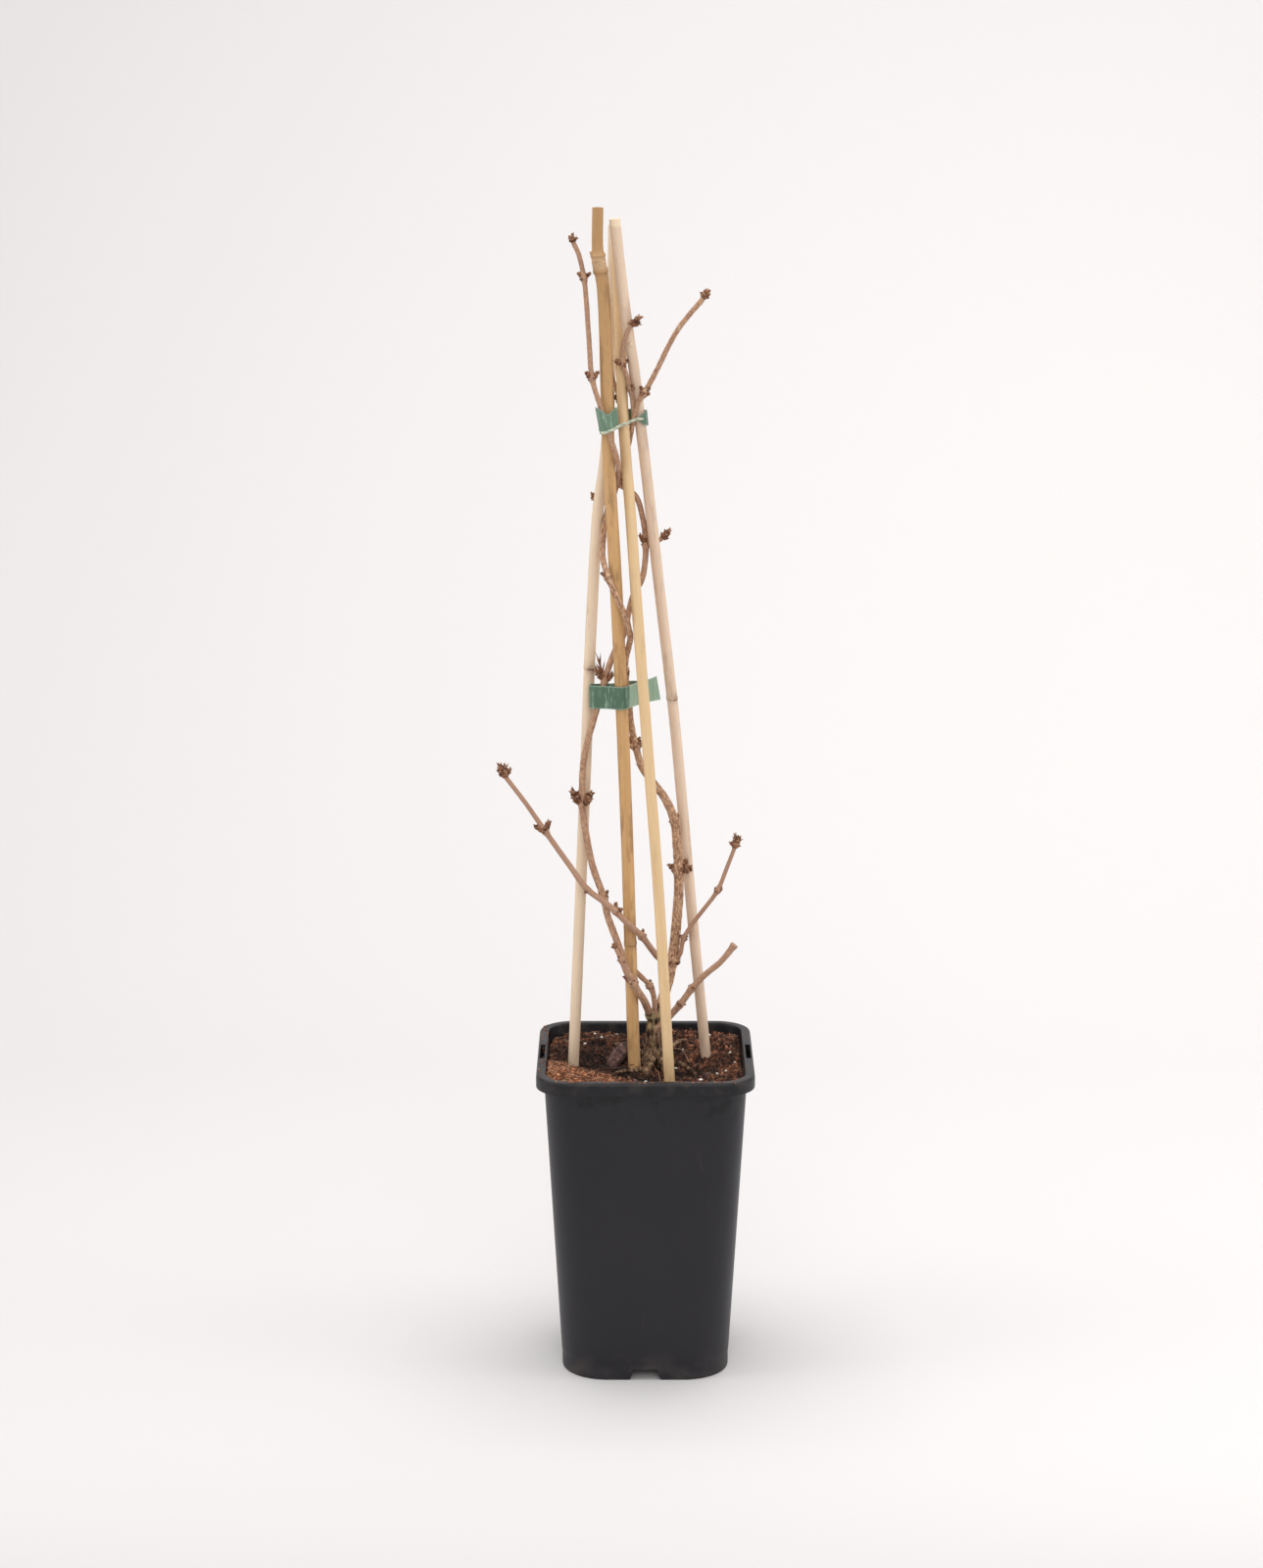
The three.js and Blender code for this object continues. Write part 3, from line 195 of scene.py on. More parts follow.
# Stems: route from the foot to the tip, radii spread evenly along it, knots, twigs and tip buds
STEMS = {
    "vine_left": {
        "route": [
            (4, 4, 210.5), (2.5, 1, 215), (0.5, -5.5, 222), (-1, -11, 227), (-3.5, -15, 232),
            (-7.5, -16.5, 239.5), (-11, -16.5, 247), (-16.5, -14.5, 263), (-22.5, -11, 279),
            (-25, -10.5, 290.5), (-31.5, -11, 310), (-35, -12, 328), (-37, -12, 342.5),
            (-37.5, -12, 348), (-37, -11, 370.5), (-34.5, -11, 384.5), (-31.5, -11.5, 395.5),
            (-28.5, -11.5, 406), (-24, -10, 422), (-21.5, -6.5, 430), (-17.5, -2, 439.5),
            (-12.5, -2.5, 449), (-10, -2.5, 461), (-7, -1.5, 472), (-2.5, -0.5, 480),
            (-0.5, 1.5, 489.5), (0, 5.5, 500.5), (-1.5, 3, 515), (-6, -1.5, 530), (-15.5, -6, 538),
            (-16, -10.5, 543.5), (-15.8, -14.8, 548.5), (-17.5, -19, 557), (-21.5, -20.5, 569),
            (-26, -19, 583.5), (-31, -16.5, 600), (-32.5, -15.5, 619), (-34, -15, 641),
            (-35.5, -14.5, 657), (-38.5, -15, 670.5), (-41.8, -15.5, 678),
        ],
        "radii": [2.4, 2.15, 2.05, 1.95, 1.85, 1.8, 1.75, 1.6, 1.5, 1.45, 1.4],
        "knots": [
            knot(5, bud(180, 35, 5.5)),
            knot(9, bud(20, 55, 3.5, 2.2), bud(200, 50, 3, 2)),
            knot(13, bud(183, 52, 10.5, 4.6), bud(200, 40, 7, 3), bud(10, 48, 8.5, 4.6),
                 bud(-40, 25, 5.5, 3.2)),
            knot(18, bud(180, 48, 9.5, 3), bud(178, 73, 16.5, 1.2), bud(-20, 40, 6, 3.2)),
            knot(26, bud(180, 60, 6, 2.8), bud(-100, 60, 4, 2.2)),
            knot(29, bud(150, 80, 6.5, 2.6), bud(20, 30, 3.5, 2.2)),
            knot(35, *pair(10, 45, 4.5, 2.6)),
            knot(38, *pair(-10, 40, 4, 2.3)),
        ],
        "twigs": [
            {
                "route": [(-7.5, -16.5, 239.5), (-12, -20, 247.5), (-14, -20, 254), (-18, -18, 261.5)],
                "radii": [1.7, 1.5, 1.4, 1.3],
                "knots": [knot(2, bud(190, 50, 3, 2))],
                "tip": [bud(180, 60, 3.5, 2.6), bud(200, 20, 3, 1.8)],
            },
            {
                "route": [(0, 5.5, 500), (3.5, 7, 501.5), (7.5, 7, 502.5), (10.5, 6, 504.5)],
                "radii": [1.6, 1.4, 1.4, 1.5],
                "knots": [],
                "tip": [bud(5, 50, 7.5, 3.4), bud(20, 15, 3.5, 2), bud(-60, 40, 3.5, 2)],
            },
        ],
        "tip": [
            bud(120, 75, 4, 3), bud(175, 55, 4.5, 2.2), bud(0, 40, 4, 2), bud(90, 80, 5.5, 1.6),
            bud(-90, 30, 3, 2.2),
        ],
        "slot": "stem_bark",
        "age": 0.55,
    },
    "vine_right": {
        "route": [
            (7, 6, 207.5), (10.5, 8.5, 221), (14, 11, 233), (16.5, 12, 245.5), (19, 10, 271.5),
            (20, 7.5, 288), (20, 5, 303), (19, 4.5, 319), (17.5, 3.5, 333.5), (11.5, 1, 348.5),
            (2.5, -1, 361), (-2, -2, 368), (-6, -3, 381.5), (-8.5, -4, 394), (-10, -4.5, 410.5),
            (-12, -4, 424.5), (-11.5, -6, 435), (-9, -12.5, 447.5), (-10, -17, 454.5),
            (-12.5, -19.5, 463.5), (-17.5, -19.8, 474.5), (-21.5, -18.5, 484), (-25, -13, 495),
            (-25, -9, 505), (-24, -4.5, 514.5), (-21.5, 1, 523.5), (-18.5, 1.5, 531),
            (-15.5, 0.5, 540), (-12, 1, 552), (-9.5, -1.5, 562), (-8, -5.5, 570.5),
            (-7, -8.5, 577), (-4.5, -10.5, 585.5), (-1, -11.5, 591), (6, -12.5, 604),
            (17.5, -14.5, 626.5), (33.2, -16.5, 646.5),
        ],
        "radii": [3.4, 3.15, 3.0, 2.9, 2.7, 2.25, 1.95, 1.85, 1.8, 1.75, 1.7, 1.6, 1.4, 1.5, 1.5, 1.5],
        "knots": [
            knot(3, bud(55, 10, 2.8, 2.8), swell=1),
            knot(6, bud(185, 30, 5.5, 3), bud(-10, 15, 6.5, 4.6), bud(20, 50, 6, 3.2),
                 bud(-50, 20, 5, 3), swell=0.8),
            knot(8, bud(0, 70, 3.5, 2.4), swell=0.3),
            knot(12, bud(190, 55, 4.5, 2.8), bud(10, 60, 4, 2.6), swell=0.9),
            knot(15, bud(30, 60, 3, 2)),
            knot(21, bud(180, 35, 5, 1.8)),
            knot(25),
            knot(33, bud(-10, 55, 4.5, 3), bud(190, 60, 3.2, 2.2), swell=0.8),
        ],
        "twigs": [
            {
                "route": [(-21.5, 1, 523.5), (-25, 5, 525.5), (-29.5, 5.5, 527)],
                "radii": [1.4, 1.1, 1.1],
                "knots": [],
                "tip": [bud(180, 60, 5.5, 2), bud(200, 30, 3.5, 1.8), bud(170, 0, 3, 1.6)],
            },
            {
                "route": [
                    (-7, -8.5, 577), (-8, -9.5, 588), (-9, -10.5, 593.5), (-11.5, -12, 602.5),
                    (-13.5, -13.5, 608), (-13, -14, 619), (-10.5, -15, 627), (-8, -15.5, 631),
                ],
                "radii": [1.4, 1.35, 1.3, 1.3, 1.3],
                "knots": [
                    knot(2, bud(-60, 50, 3, 2)),
                    knot(4, bud(205, 25, 4.2, 3), bud(10, 35, 3.2, 2), swell=0.7),
                ],
                "tip": [
                    bud(10, 40, 8.5, 3), bud(20, -2, 6, 2), bud(-30, 60, 3.5, 2.2),
                    bud(170, 20, 2.6, 2.2),
                ],
            },
            {
                "route": [
                    (-9.5, -1.5, 562), (-12.5, 1, 573), (-15, 0, 584.5), (-18, -3, 595),
                    (-20.5, -6, 605), (-22, -7.5, 611),
                ],
                "radii": [1.3, 1.1, 1.1, 1, 1, 0.9],
                "knots": [knot(2, bud(200, 50, 4.5, 2.4))],
                "tip": [bud(150, 60, 3, 1.8)],
            },
        ],
        "tip": [
            bud(20, 55, 6, 4), bud(0, 75, 5.5, 2), bud(60, 60, 5.5, 2), bud(-30, 30, 4.5, 2.4),
            bud(150, 50, 4, 2.4), bud(-90, 30, 3.5, 2.4),
        ],
        "slot": "stem_bark",
        "age": 1.0,
    },
    "shoot_far_left": {
        "route": [
            (16.5, 12, 245.5), (9.5, 4, 248.5), (4.5, -6, 256), (-2, -13.5, 267), (-8, -17.5, 274),
            (-13.5, -19, 279.5), (-17.5, -19, 284), (-26, -17.5, 290.5), (-34.5, -17, 297),
            (-47, -17, 314.5), (-59.5, -18, 333), (-71, -19.5, 350.5), (-83, -20.5, 367),
        ],
        "radii": [2.4, 1.9, 1.8, 1.8, 1.7, 1.6, 1.4, 1.35],
        "knots": [
            knot(3, bud(60, 75, 3.2, 1.8)),
            knot(6, bud(90, 75, 4.5, 2.2), bud(-20, 25, 3.5, 2.2)),
            knot(8, bud(-120, -30, 2, 1.8), swell=0.2),
            knot(10, bud(175, 25, 6, 3), bud(20, 65, 6, 3.2), bud(-90, 40, 3.5, 2.4), swell=0.7),
        ],
        "tip": [
            bud(178, 66, 9.5, 3.4), bud(185, 40, 6.5, 2.2), bud(70, 80, 8, 2.6), bud(200, 15, 4, 2.2),
            bud(5, 52, 7, 3), bud(-90, 55, 5, 2.6), bud(120, 86, 8, 1.8),
        ],
        "slot": "young_bark",
        "age": 0.15,
    },
    "shoot_stub": {
        "route": [(5.5, 3, 212), (5.5, 2.5, 223), (3, 2.5, 231.5), (-2.5, 1, 238), (-8, -0.5, 244.5)],
        "radii": [1.8, 1.7, 1.6, 1.4, 1.3],
        "knots": [knot(2, bud(90, 80, 3, 1.8)), knot(3, swell=0.2)],
        "tip": [bud(180, 50, 2.6, 2.2)],
        "slot": "young_bark",
        "age": 0.4,
    },
    "shoot_right_upper": {
        "route": [
            (17, 12, 244), (21, 9, 250), (23, 7, 260), (27.5, 5.5, 268.5), (32.5, 3.5, 276),
            (39, 2, 285), (43.5, 1, 292), (48.5, -0.5, 305.5), (53.5, -2, 319.5),
        ],
        "radii": [1.5, 1.3, 1.3, 1.3, 1.3, 1.25, 1.2],
        "knots": [
            knot(2, *pair(-20, 40, 2.6, 2), swell=0.3), knot(6, bud(-30, 40, 2.2, 2), swell=0.6),
        ],
        "tip": [
            bud(40, 68, 7.5, 3.6), bud(80, 86, 9, 1.7), bud(10, 62, 8.5, 1.9), bud(175, 42, 5, 2.6),
            bud(-10, 15, 3.6, 2.4), bud(-90, 40, 3.5, 2.2),
        ],
        "slot": "young_bark",
        "age": 0.2,
    },
    "shoot_right_lower": {
        "route": [
            (6, 3, 203.5), (11.5, 0.5, 210), (21, -2, 221.5), (28, -2.5, 231.5), (35.5, -3, 240),
            (45.5, -4, 249), (53.5, -4.5, 259.5),
        ],
        "radii": [2.3, 2.1, 2.0, 1.9, 1.8, 1.8, 2.0],
        "knots": [
            knot(2, bud(-100, 10, 2.4, 2), swell=0.3), knot(3, bud(-70, 30, 2.2, 1.8), swell=0.4),
        ],
        "tip": [],
        "slot": "young_bark",
        "age": 0.45,
    },
}

# Plastic tape on edge: x, y and the heights of its lower and upper edge at each point of its line.
# Where it leans, the upper edge's own x and y stand before its height.
TIE_MIDDLE_FRONT = [
    (8.8, -5.2, 409.6, 6.4, -5.9, 423.9), (2, -7, 408.6, 422.3), (-5, -9.8, 407.1, 420.7),
    (-9, -13.4, 406.4, 420), (-11.6, -16, 406, 419.6), (-14.6, -16.6, 405.7, 419.3),
    (-18.5, -16.1, 405.9, 419.4), (-24, -15.2, 406.1, 419.6), (-29, -14.8, 406.1, 419.7),
    (-32.2, -13.6, 406.1, 419.7), (-33, -11.3, 406.1, 419.7), (-31.6, -8.9, 406.1, 419.7),
    (-28.5, -8, 406.1, 419.7), (-24, -7.5, 406.1, 419.7),
]
TIE_MIDDLE_BACK = [
    (-25, -7.6, 406.1, 419.7), (-19, -6.9, 406.1, 419.7), (-15, -6.6, 406.1, 419.7),
    (-14.4, -4.4, 406.1, 419.7), (-13.6, -2, 406.1, 419.7), (-11, -0.9, 406.3, 419.9),
    (-7.4, -1.7, 406.7, 420.3), (-5.6, -4.2, 407.1, 420.7), (-3.4, -6.8, 407.4, 421.1),
    (0.2, -7.7, 408.3, 421.9),
]
TIE_TOP = [
    (-26.4, -12, 568.7, -27.4, -12.5, 581.5), (-26.4, -17.5, 568.6, -29, -17.5, 583.5),
    (-25.6, -21.2, 568.8, -28.6, -20.8, 583.8), (-23.6, -22.8, 569.2, -26, -22, 582.6),
    (-21, -23, 569.8, -22, -21.2, 579.8), (-18.5, -21.8, 570.6, -18.6, -19.6, 582.6),
    (-16.6, -20.2, 571.3, -17, -18.6, 583.6), (-15.4, -19.2, 572.6, 573.5), (-10, -15, 574.2, 575),
    (-6.5, -12.5, 575.4, 576.2), (-3.8, -10.4, 574.6, 577.4), (-1, -8, 572.2, -1.2, -8.3, 579.4),
    (1.1, -4.8, 571.6, 0.4, -5.6, 580.4), (1.1, -1.8, 571.4, 0.2, -2.6, 580.4),
    (-1.6, 1, 571, -2.6, 0, 580), (-10, 2.8, 570.4, 580.4), (-18, 4, 569.8, -18, 4.5, 581),
    (-22.5, 3.6, 569.4, -22, 4.5, 581), (-25.8, 1.6, 569.2, -25.2, 2.9, 581), (-27, -1.8, 569, 581),
    (-27, -7, 568.8, 581),
]
# Twisted part of the top tape: steps along it, length of a turn and radius of a strand
CORD_STEPS = 90
CORD_TURN = 5.2
CORD_STRAND = 0.46
# Its line, in front of the canes
TIE_CORD = [
    (-26.2, -21.6, 569.2), (-23.4, -23.6, 569.7), (-20.6, -23.6, 570.6), (-18, -22.2, 571.6),
    (-15.4, -19.9, 573), (-10, -15.5, 574.6), (-6.5, -13, 575.8), (-3.6, -10.8, 576),
    (-1.4, -9, 575.8),
]

# Heaps and hollows of the soil: middle, reach and height
SOIL_FORMS = [
    (5, 14, 13, 2.5), (-16, 8, 14, -3.5), (25, -8, 17, -4.5), (24, 52, 20, 4.5), (-34, 52, 22, 3.5),
    (52, 42, 18, 3), (50, -38, 22, 3), (-52, 20, 16, 2), (4, -46, 14, 0.5),
]
# Hollows darkened with painted shade: middle, reach and strength
SHADED_HOLLOWS = [
    (-24, 4, 17, 1.1), (26, -13, 14, 1.3), (2, -30, 14, 1.0), (-14, -14, 12, 1.0), (14, 24, 12, 0.7),
    (50, 8, 10, 0.5), (-50, -6, 11, 0.9), (16, -53, 12, 0.8), (-30, 32, 22, 0.55), (2, 44, 20, 0.5),
    (-46, 12, 15, 0.5), (40, -52, 9, 0.6),
]
# Soil: usual level and highest point, rings and points of its mesh, and its area in square metres
SOIL_LEVEL = 182.5
SOIL_HIGHEST = 190.8
SOIL_RINGS = 112
SOIL_EDGE_POINTS = 408
SOIL_PLAN_AREA = 0.0139
# Underside of the soil: half of its width, its corners and its height
SOIL_UNDERSIDE = (47.3, 25.8, 8.3)
# Loose heap at the front left: a place on its edge, the way it faces in plan and its height
HEAP_EDGE = {"x": -38, "y": -28, "facing": 228, "height": 7}
# Chips of bark in the soil: middle, length, width, turn in plan and slope
BARK_CHIPS = [
    (-17, 13, 22, 9.5, 56, 34), (36, -30, 5, 3, 20, 10), (-30, 42, 5, 2.6, 80, 12),
    (-6, -38, 5, 2.4, 150, 10),
]
# White grains of perlite that lie in sight: place in plan and width
PERLITE = [
    (32.8, -36, 2.6), (-31.1, 52, 1.7), (-30.4, 43, 1.6), (-26.8, 46, 1.8), (-37, 35, 1.6),
    (-17.2, 54, 1.5), (-31, -30, 2.0), (48.6, -14, 1.7), (54.8, -3, 1.9), (43.2, -22, 1.8),
    (52, 22, 2.0), (18.7, -1, 1.6), (21, -42, 1.8), (0.2, -34, 1.6), (23.2, 26, 1.5), (54.5, 4, 1.5),
    (-46, 40, 1.5), (8, 50, 1.6), (-50, -6, 1.4), (40, 48, 1.8), (-8, 28, 1.4), (30, -50, 1.5),
]
# Thin pale rootlets that arch over the soil
ROOTLETS = [
    [(-39, -27, 185.5), (-28.5, -24, 187.5), (-17, -21, 187.5), (-8, -13, 187), (-3.5, -5, 187.5)],
    [(5.5, -14, 187), (7.5, -27, 186.5), (9.5, -38, 184)],
    [(-6, -12, 187.5), (2, -19, 186.5), (6, -28, 184)],
    [(12, 30, 190), (20, 26, 190.5), (30, 27, 189), (38, 22, 186.5)],
    [(-52, 12, 187), (-46, 18, 189), (-38, 20, 187), (-30, 15, 184)],
    [(14, 20, 189), (22, 14, 188), (27, 6, 184.5)],
]

# Pot: foot, rim and wall are full widths, and corners are radii
POT_HEIGHT = 191.4
POT_FOOT = 101
POT_FOOT_CORNER = 27.5
POT_RIM = 130
POT_RIM_CORNER = 21
POT_WALL_FOOT = 101.6
POT_WALL_TOP = 120.2
POT_WALL_CORNER = 17.5
POT_WALL = 1.2
POT_STEP = 11
LIP_HEIGHT = 8
FLOOR_UNDERSIDE = 6.5
FLOOR_THICKNESS = 1.5
# The pot's outline: inset from the foot's side and height, then heights on the wall, then inset
# from the rim and depth under the top of the lip, then height and inset of the inside
FOOT_PROFILE = [
    (3.4, 6.5), (2.75, 6.5), (2.6, 6.2), (2.6, 0.2), (2.4, 0), (1.1, 0), (0.6, 0.12), (0.25, 0.5),
    (0.05, 1.0), (0, 1.6), (0, 6), (0, 10.4), (-0.1, 10.8),
]
WALL_HEIGHTS = [11.5, 13, 20, 35, 55, 75, 95, 115, 135, 155, 172, 184, 189.6]
LIP_PROFILE = [
    (1.2, 1.6), (1.2, 7.8), (1.05, 8), (0.4, 8), (0.15, 7.85), (0, 7.4), (0, 6.6), (0, 4), (0, 1.9),
    (0.06, 1.3), (0.25, 0.7), (0.6, 0.25), (1.1, 0.03), (1.7, 0),
]
INSIDE_PROFILE = [
    (191.4, 0.6), (191.3, 0.95), (190.9, 1.15), (190, POT_WALL), (150, POT_WALL), (90, POT_WALL),
    (40, POT_WALL), (11, POT_WALL),
]
NOTCH = {"width": 18.4, "top": 14.8, "height": 6.6}
LIP_SLOT = {"length": 28, "width": 3, "depth": 7, "in_from_rim": 2.8}
DRAIN_HOLE = {"radius": 4.5, "out": 27}
PAD_RADIUS = 12


class Value:
    """One socket of a node tree. Arithmetic on it adds Math nodes."""

    def __init__(self, nodes, socket):
        self.nodes = nodes
        self.socket = socket

    def maths(self, operation, *values, clamp=False):
        settings = {"operation": operation, "use_clamp": clamp}
        return self.nodes.add("ShaderNodeMath", settings, dict(enumerate(values)))

    def __add__(self, other):
        return self.maths("ADD", self, other)

    def __sub__(self, other):
        return self.maths("SUBTRACT", self, other)

    def __rsub__(self, other):
        return self.maths("SUBTRACT", other, self)

    def __mul__(self, other):
        return self.maths("MULTIPLY", self, other)

    __radd__ = __add__
    __rmul__ = __mul__

    def clipped(self):
        return self.maths("ADD", self, 0.0, clamp=True)

    def output(self, name):
        return Value(self.nodes, self.socket.node.outputs[name])


class Nodes:
    """Adds nodes to a tree."""

    def __init__(self, tree):
        self.tree = tree

    def add(self, kind, settings=None, inputs=None, output=0):
        """A node of a type, with its settings first and then its sockets' values or links."""
        node = self.tree.nodes.new(kind)
        for name, value in (settings or {}).items():
            if name == "stops":
                self.set_stops(node.color_ramp, value)
            else:
                setattr(node, name, value)
        for key, value in (inputs or {}).items():
            if isinstance(value, Value):
                self.tree.links.new(value.socket, node.inputs[key])
            elif isinstance(value, list):
                for part in value:
                    self.tree.links.new(part.socket, node.inputs[key])
            else:
                node.inputs[key].default_value = value
        return Value(self, node.outputs[output]) if len(node.outputs) else node

    @staticmethod
    def set_stops(ramp, stops):
        while len(ramp.elements) < len(stops):
            ramp.elements.new(0.5)
        for element, (place, colour) in zip(ramp.elements, stops):
            element.position = place
            element.color = (*colour, 1)

    def attributes(self, *names):
        """Numbers stored on a piece."""
        return [self.add("ShaderNodeAttribute", {"attribute_name": name}).output("Fac") for name in names]

    def grain(self):
        """Places as if the stem, cane or cord were straight and upright."""
        return self.add("ShaderNodeAttribute", {"attribute_name": "grain"}).output("Vector")

    def place(self):
        return self.add("ShaderNodeTexCoord").output("Object")

    def drawn_out(self, place, share):
        """Places along Z at a share of their distance, which draws a pattern out that way."""
        return self.add("ShaderNodeVectorMath", {"operation": "MULTIPLY"}, {0: place, 1: (1, 1, share)})

    def height(self):
        return self.add("ShaderNodeSeparateXYZ", {}, {0: self.place()}).output("Z")

    def noise(self, vector, scale, detail=4.0, roughness=0.55):
        inputs = {"Vector": vector, "Scale": scale, "Detail": detail, "Roughness": roughness}
        return self.add("ShaderNodeTexNoise", {}, inputs)

    def cells(self, vector, scale):
        return self.add("ShaderNodeTexVoronoi", {}, {"Vector": vector, "Scale": scale})

    def span(self, value, low, high, start=0.0, end=1.0):
        """Turns a value's range from low to high into start to end, smoothly and clipped."""
        inputs = {"Value": value, "From Min": low, "From Max": high, "To Min": start, "To Max": end}
        return self.add("ShaderNodeMapRange", {"interpolation_type": "SMOOTHSTEP"}, inputs)

    def band(self, value, middle, width):
        """1 at the middle, fading to 0 at width on either side."""
        return self.span(value.maths("ABSOLUTE", value - middle), 0.0, width, 1.0, 0.0)

    def ramp(self, value, stops):
        return self.add("ShaderNodeValToRGB", {"stops": stops}, {0: value})

    def mix(self, share, first, second):
        """Mixes two colours."""
        inputs = {0: share, 6: self.opaque(first), 7: self.opaque(second)}
        return self.add("ShaderNodeMix", {"data_type": "RGBA"}, inputs, output=2)

    @staticmethod
    def opaque(colour):
        return colour if isinstance(colour, Value) else (*colour, 1)

    def surface(self, colour, roughness, relief, depth, strength):
        """What a paint gives: its colour, its roughness and a fine relief with its depth."""
        bump = {"Height": relief, "Distance": depth, "Strength": strength}
        return {
            "Base Color": colour,
            "Roughness": roughness,
            "Normal": self.add("ShaderNodeBump", {}, bump),
        }


# Main colours, which the settings offer
PLASTIC = (0.0095, 0.009, 0.013)
PALE_BAMBOO = (0.74, 0.53, 0.30)
GOLDEN_BAMBOO = (0.62, 0.375, 0.165)
YOUNG_BARK = (0.50, 0.305, 0.20)
OLD_BARK = (0.46, 0.262, 0.150)
TAPE_GREEN = (0.34, 0.44, 0.33)
MOSS = (0.50, 0.42, 0.23)
HUSK = (0.235, 0.092, 0.044)


def toned(colour, chosen, usual):
    """A colour moved the way that a chosen main colour differs from its usual value."""
    return tuple(part * now / then for part, now, then in zip(colour, chosen, usual))


def new_material(name, specular, paint, *chosen, **marks):
    """A material whose varying colour, roughness and normal come from a paint function."""
    material = bpy.data.materials.new(name)
    material.use_nodes = True
    material.node_tree.nodes.clear()
    nodes = Nodes(material.node_tree)
    inputs = {"Specular IOR Level": specular, **paint(nodes, *chosen, **marks)}
    shader = nodes.add("ShaderNodeBsdfPrincipled", {}, inputs)
    nodes.add("ShaderNodeOutputMaterial", {}, {"Surface": shader})
    return material


def paint_pot(nodes, plastic_colour):
    place = nodes.place()
    height = nodes.height()
    broad = nodes.noise(place, 22, detail=3)
    fine = nodes.noise(place, 1500, detail=2)
    drag = nodes.noise(nodes.drawn_out(place, 0.06), 260, detail=3)
    lip_dust = nodes.span(height, 0.181, 0.1905) * nodes.span(nodes.noise(place, 90), 0.45, 0.68)
    foot_dust = nodes.span(height, 0.022, 0.002) * nodes.span(nodes.noise(place, 60), 0.42, 0.7)
    scuffs = nodes.span(nodes.noise(nodes.drawn_out(place, 0.3), 130, detail=6), 0.62, 0.78)
    dust = (lip_dust * 0.2 + foot_dust * 0.25 + scuffs * 0.08).clipped()
    dark = toned((0.007, 0.0065, 0.0105), plastic_colour, PLASTIC)
    light = toned((0.012, 0.011, 0.0155), plastic_colour, PLASTIC)
    plastic = nodes.mix(broad, dark, light)
    blots = nodes.noise(place, 110, detail=5)
    smudge = nodes.span(height, 0.158, 0.176) * nodes.span(blots, 0.5, 0.62)
    plastic = nodes.mix(smudge * 0.8, plastic, (0.003, 0.003, 0.004))
    # Painted shade: the lip is darkened all over, standing for the darker reflection on its face.
    plastic = nodes.mix(nodes.span(height, 0.1830, 0.1838) * 0.6, plastic, (0.0025, 0.0025, 0.0035))
    return nodes.surface(
        nodes.mix(dust, plastic, (0.12, 0.095, 0.08)),
        0.33 + broad * 0.12 + drag * 0.08 + dust * 0.3,
        fine * 0.5 + drag * 0.7, 0.00006, 0.6,
    )


def paint_soil(nodes, husk_colour):
    """Dark peat with painted shade in its hollows and pits, red-brown crumbs and bright flecks; the loose
    heap is more orange.
    """
    place = nodes.place()
    tint, loose, rise, damp = nodes.attributes("tint", "loose", "rise", "damp")
    clumps = nodes.noise(place, 260, detail=8, roughness=0.72)
    grit = nodes.noise(place, 1300, detail=3, roughness=0.6)
    # The rise of the crumb relief makes raised crumbs lighter and pits darker: painted light and shade.
    level = clumps * 0.55 + grit * 0.25 + rise * 0.2
    peat = nodes.ramp(level, [
        (0.37, (0.0045, 0.0025, 0.002)), (0.46, (0.022, 0.009, 0.006)),
        (0.53, (0.085, 0.034, 0.019)), (0.59, (0.25, 0.105, 0.055)), (0.67, (0.50, 0.29, 0.18)),
    ])
    husk = nodes.ramp(level, [
        (level_at, toned(colour, husk_colour, HUSK)) for level_at, colour in (
            (0.36, (0.022, 0.007, 0.004)), (0.45, (0.10, 0.033, 0.015)),
            (0.53, HUSK), (0.63, (0.58, 0.33, 0.19)),
        )
    ])
    ground = nodes.mix(loose, peat, husk)
    # Painted shade: the hollows, away from the loose heap, are darkened nearly to black.
    ground = nodes.mix(damp * (1 - loose) * 0.85, ground, (0.008, 0.004, 0.0035))
    shade = nodes.mix(tint, (0.15, 0.14, 0.14), (2.5, 2.3, 2.2))
    mixed = nodes.add("ShaderNodeMix", {"data_type": "RGBA", "blend_type": "MULTIPLY"},
                      {0: 1.0, 6: ground, 7: shade}, output=2)
    return nodes.surface(
        mixed,
        0.72 + grit * 0.25,
        clumps * 0.6 + grit * 0.4, 0.0014, 1.0,
    )


def paint_fibre(nodes):
    tint, loose, damp = nodes.attributes("tint", "loose", "damp")
    grain = nodes.noise(nodes.place(), 700)
    dark = nodes.ramp(tint, [
        (0.0, (0.012, 0.006, 0.005)), (0.5, (0.06, 0.026, 0.018)),
        (0.8, (0.17, 0.082, 0.05)), (1.0, (0.50, 0.33, 0.22)),
    ])
    # Painted shade: fibres that lie in the soil's hollows are darkened.
    dark = nodes.mix(damp * (1 - loose) * 0.75, dark, (0.016, 0.008, 0.006))
    bright = nodes.ramp(tint, [
        (0.0, (0.07, 0.024, 0.012)), (0.5, (0.30, 0.13, 0.066)), (0.85, (0.55, 0.31, 0.18)),
        (1.0, (0.80, 0.58, 0.38)),
    ])
    return nodes.surface(
        nodes.mix(loose, dark, bright),
        0.6 + grain * 0.3,
        grain, 0.0001, 0.5,
    )


def paint_chip(nodes):
    place = nodes.place()
    layers = nodes.noise(nodes.drawn_out(place, 2), 330, detail=7, roughness=0.7)
    colour = nodes.ramp(layers, [
        (0.38, (0.022, 0.010, 0.010)), (0.48, (0.070, 0.034, 0.030)),
        (0.56, (0.13, 0.070, 0.060)), (0.66, (0.30, 0.20, 0.16)),
    ])
    return nodes.surface(colour, 0.7 + layers * 0.2, layers, 0.0007, 1.0)


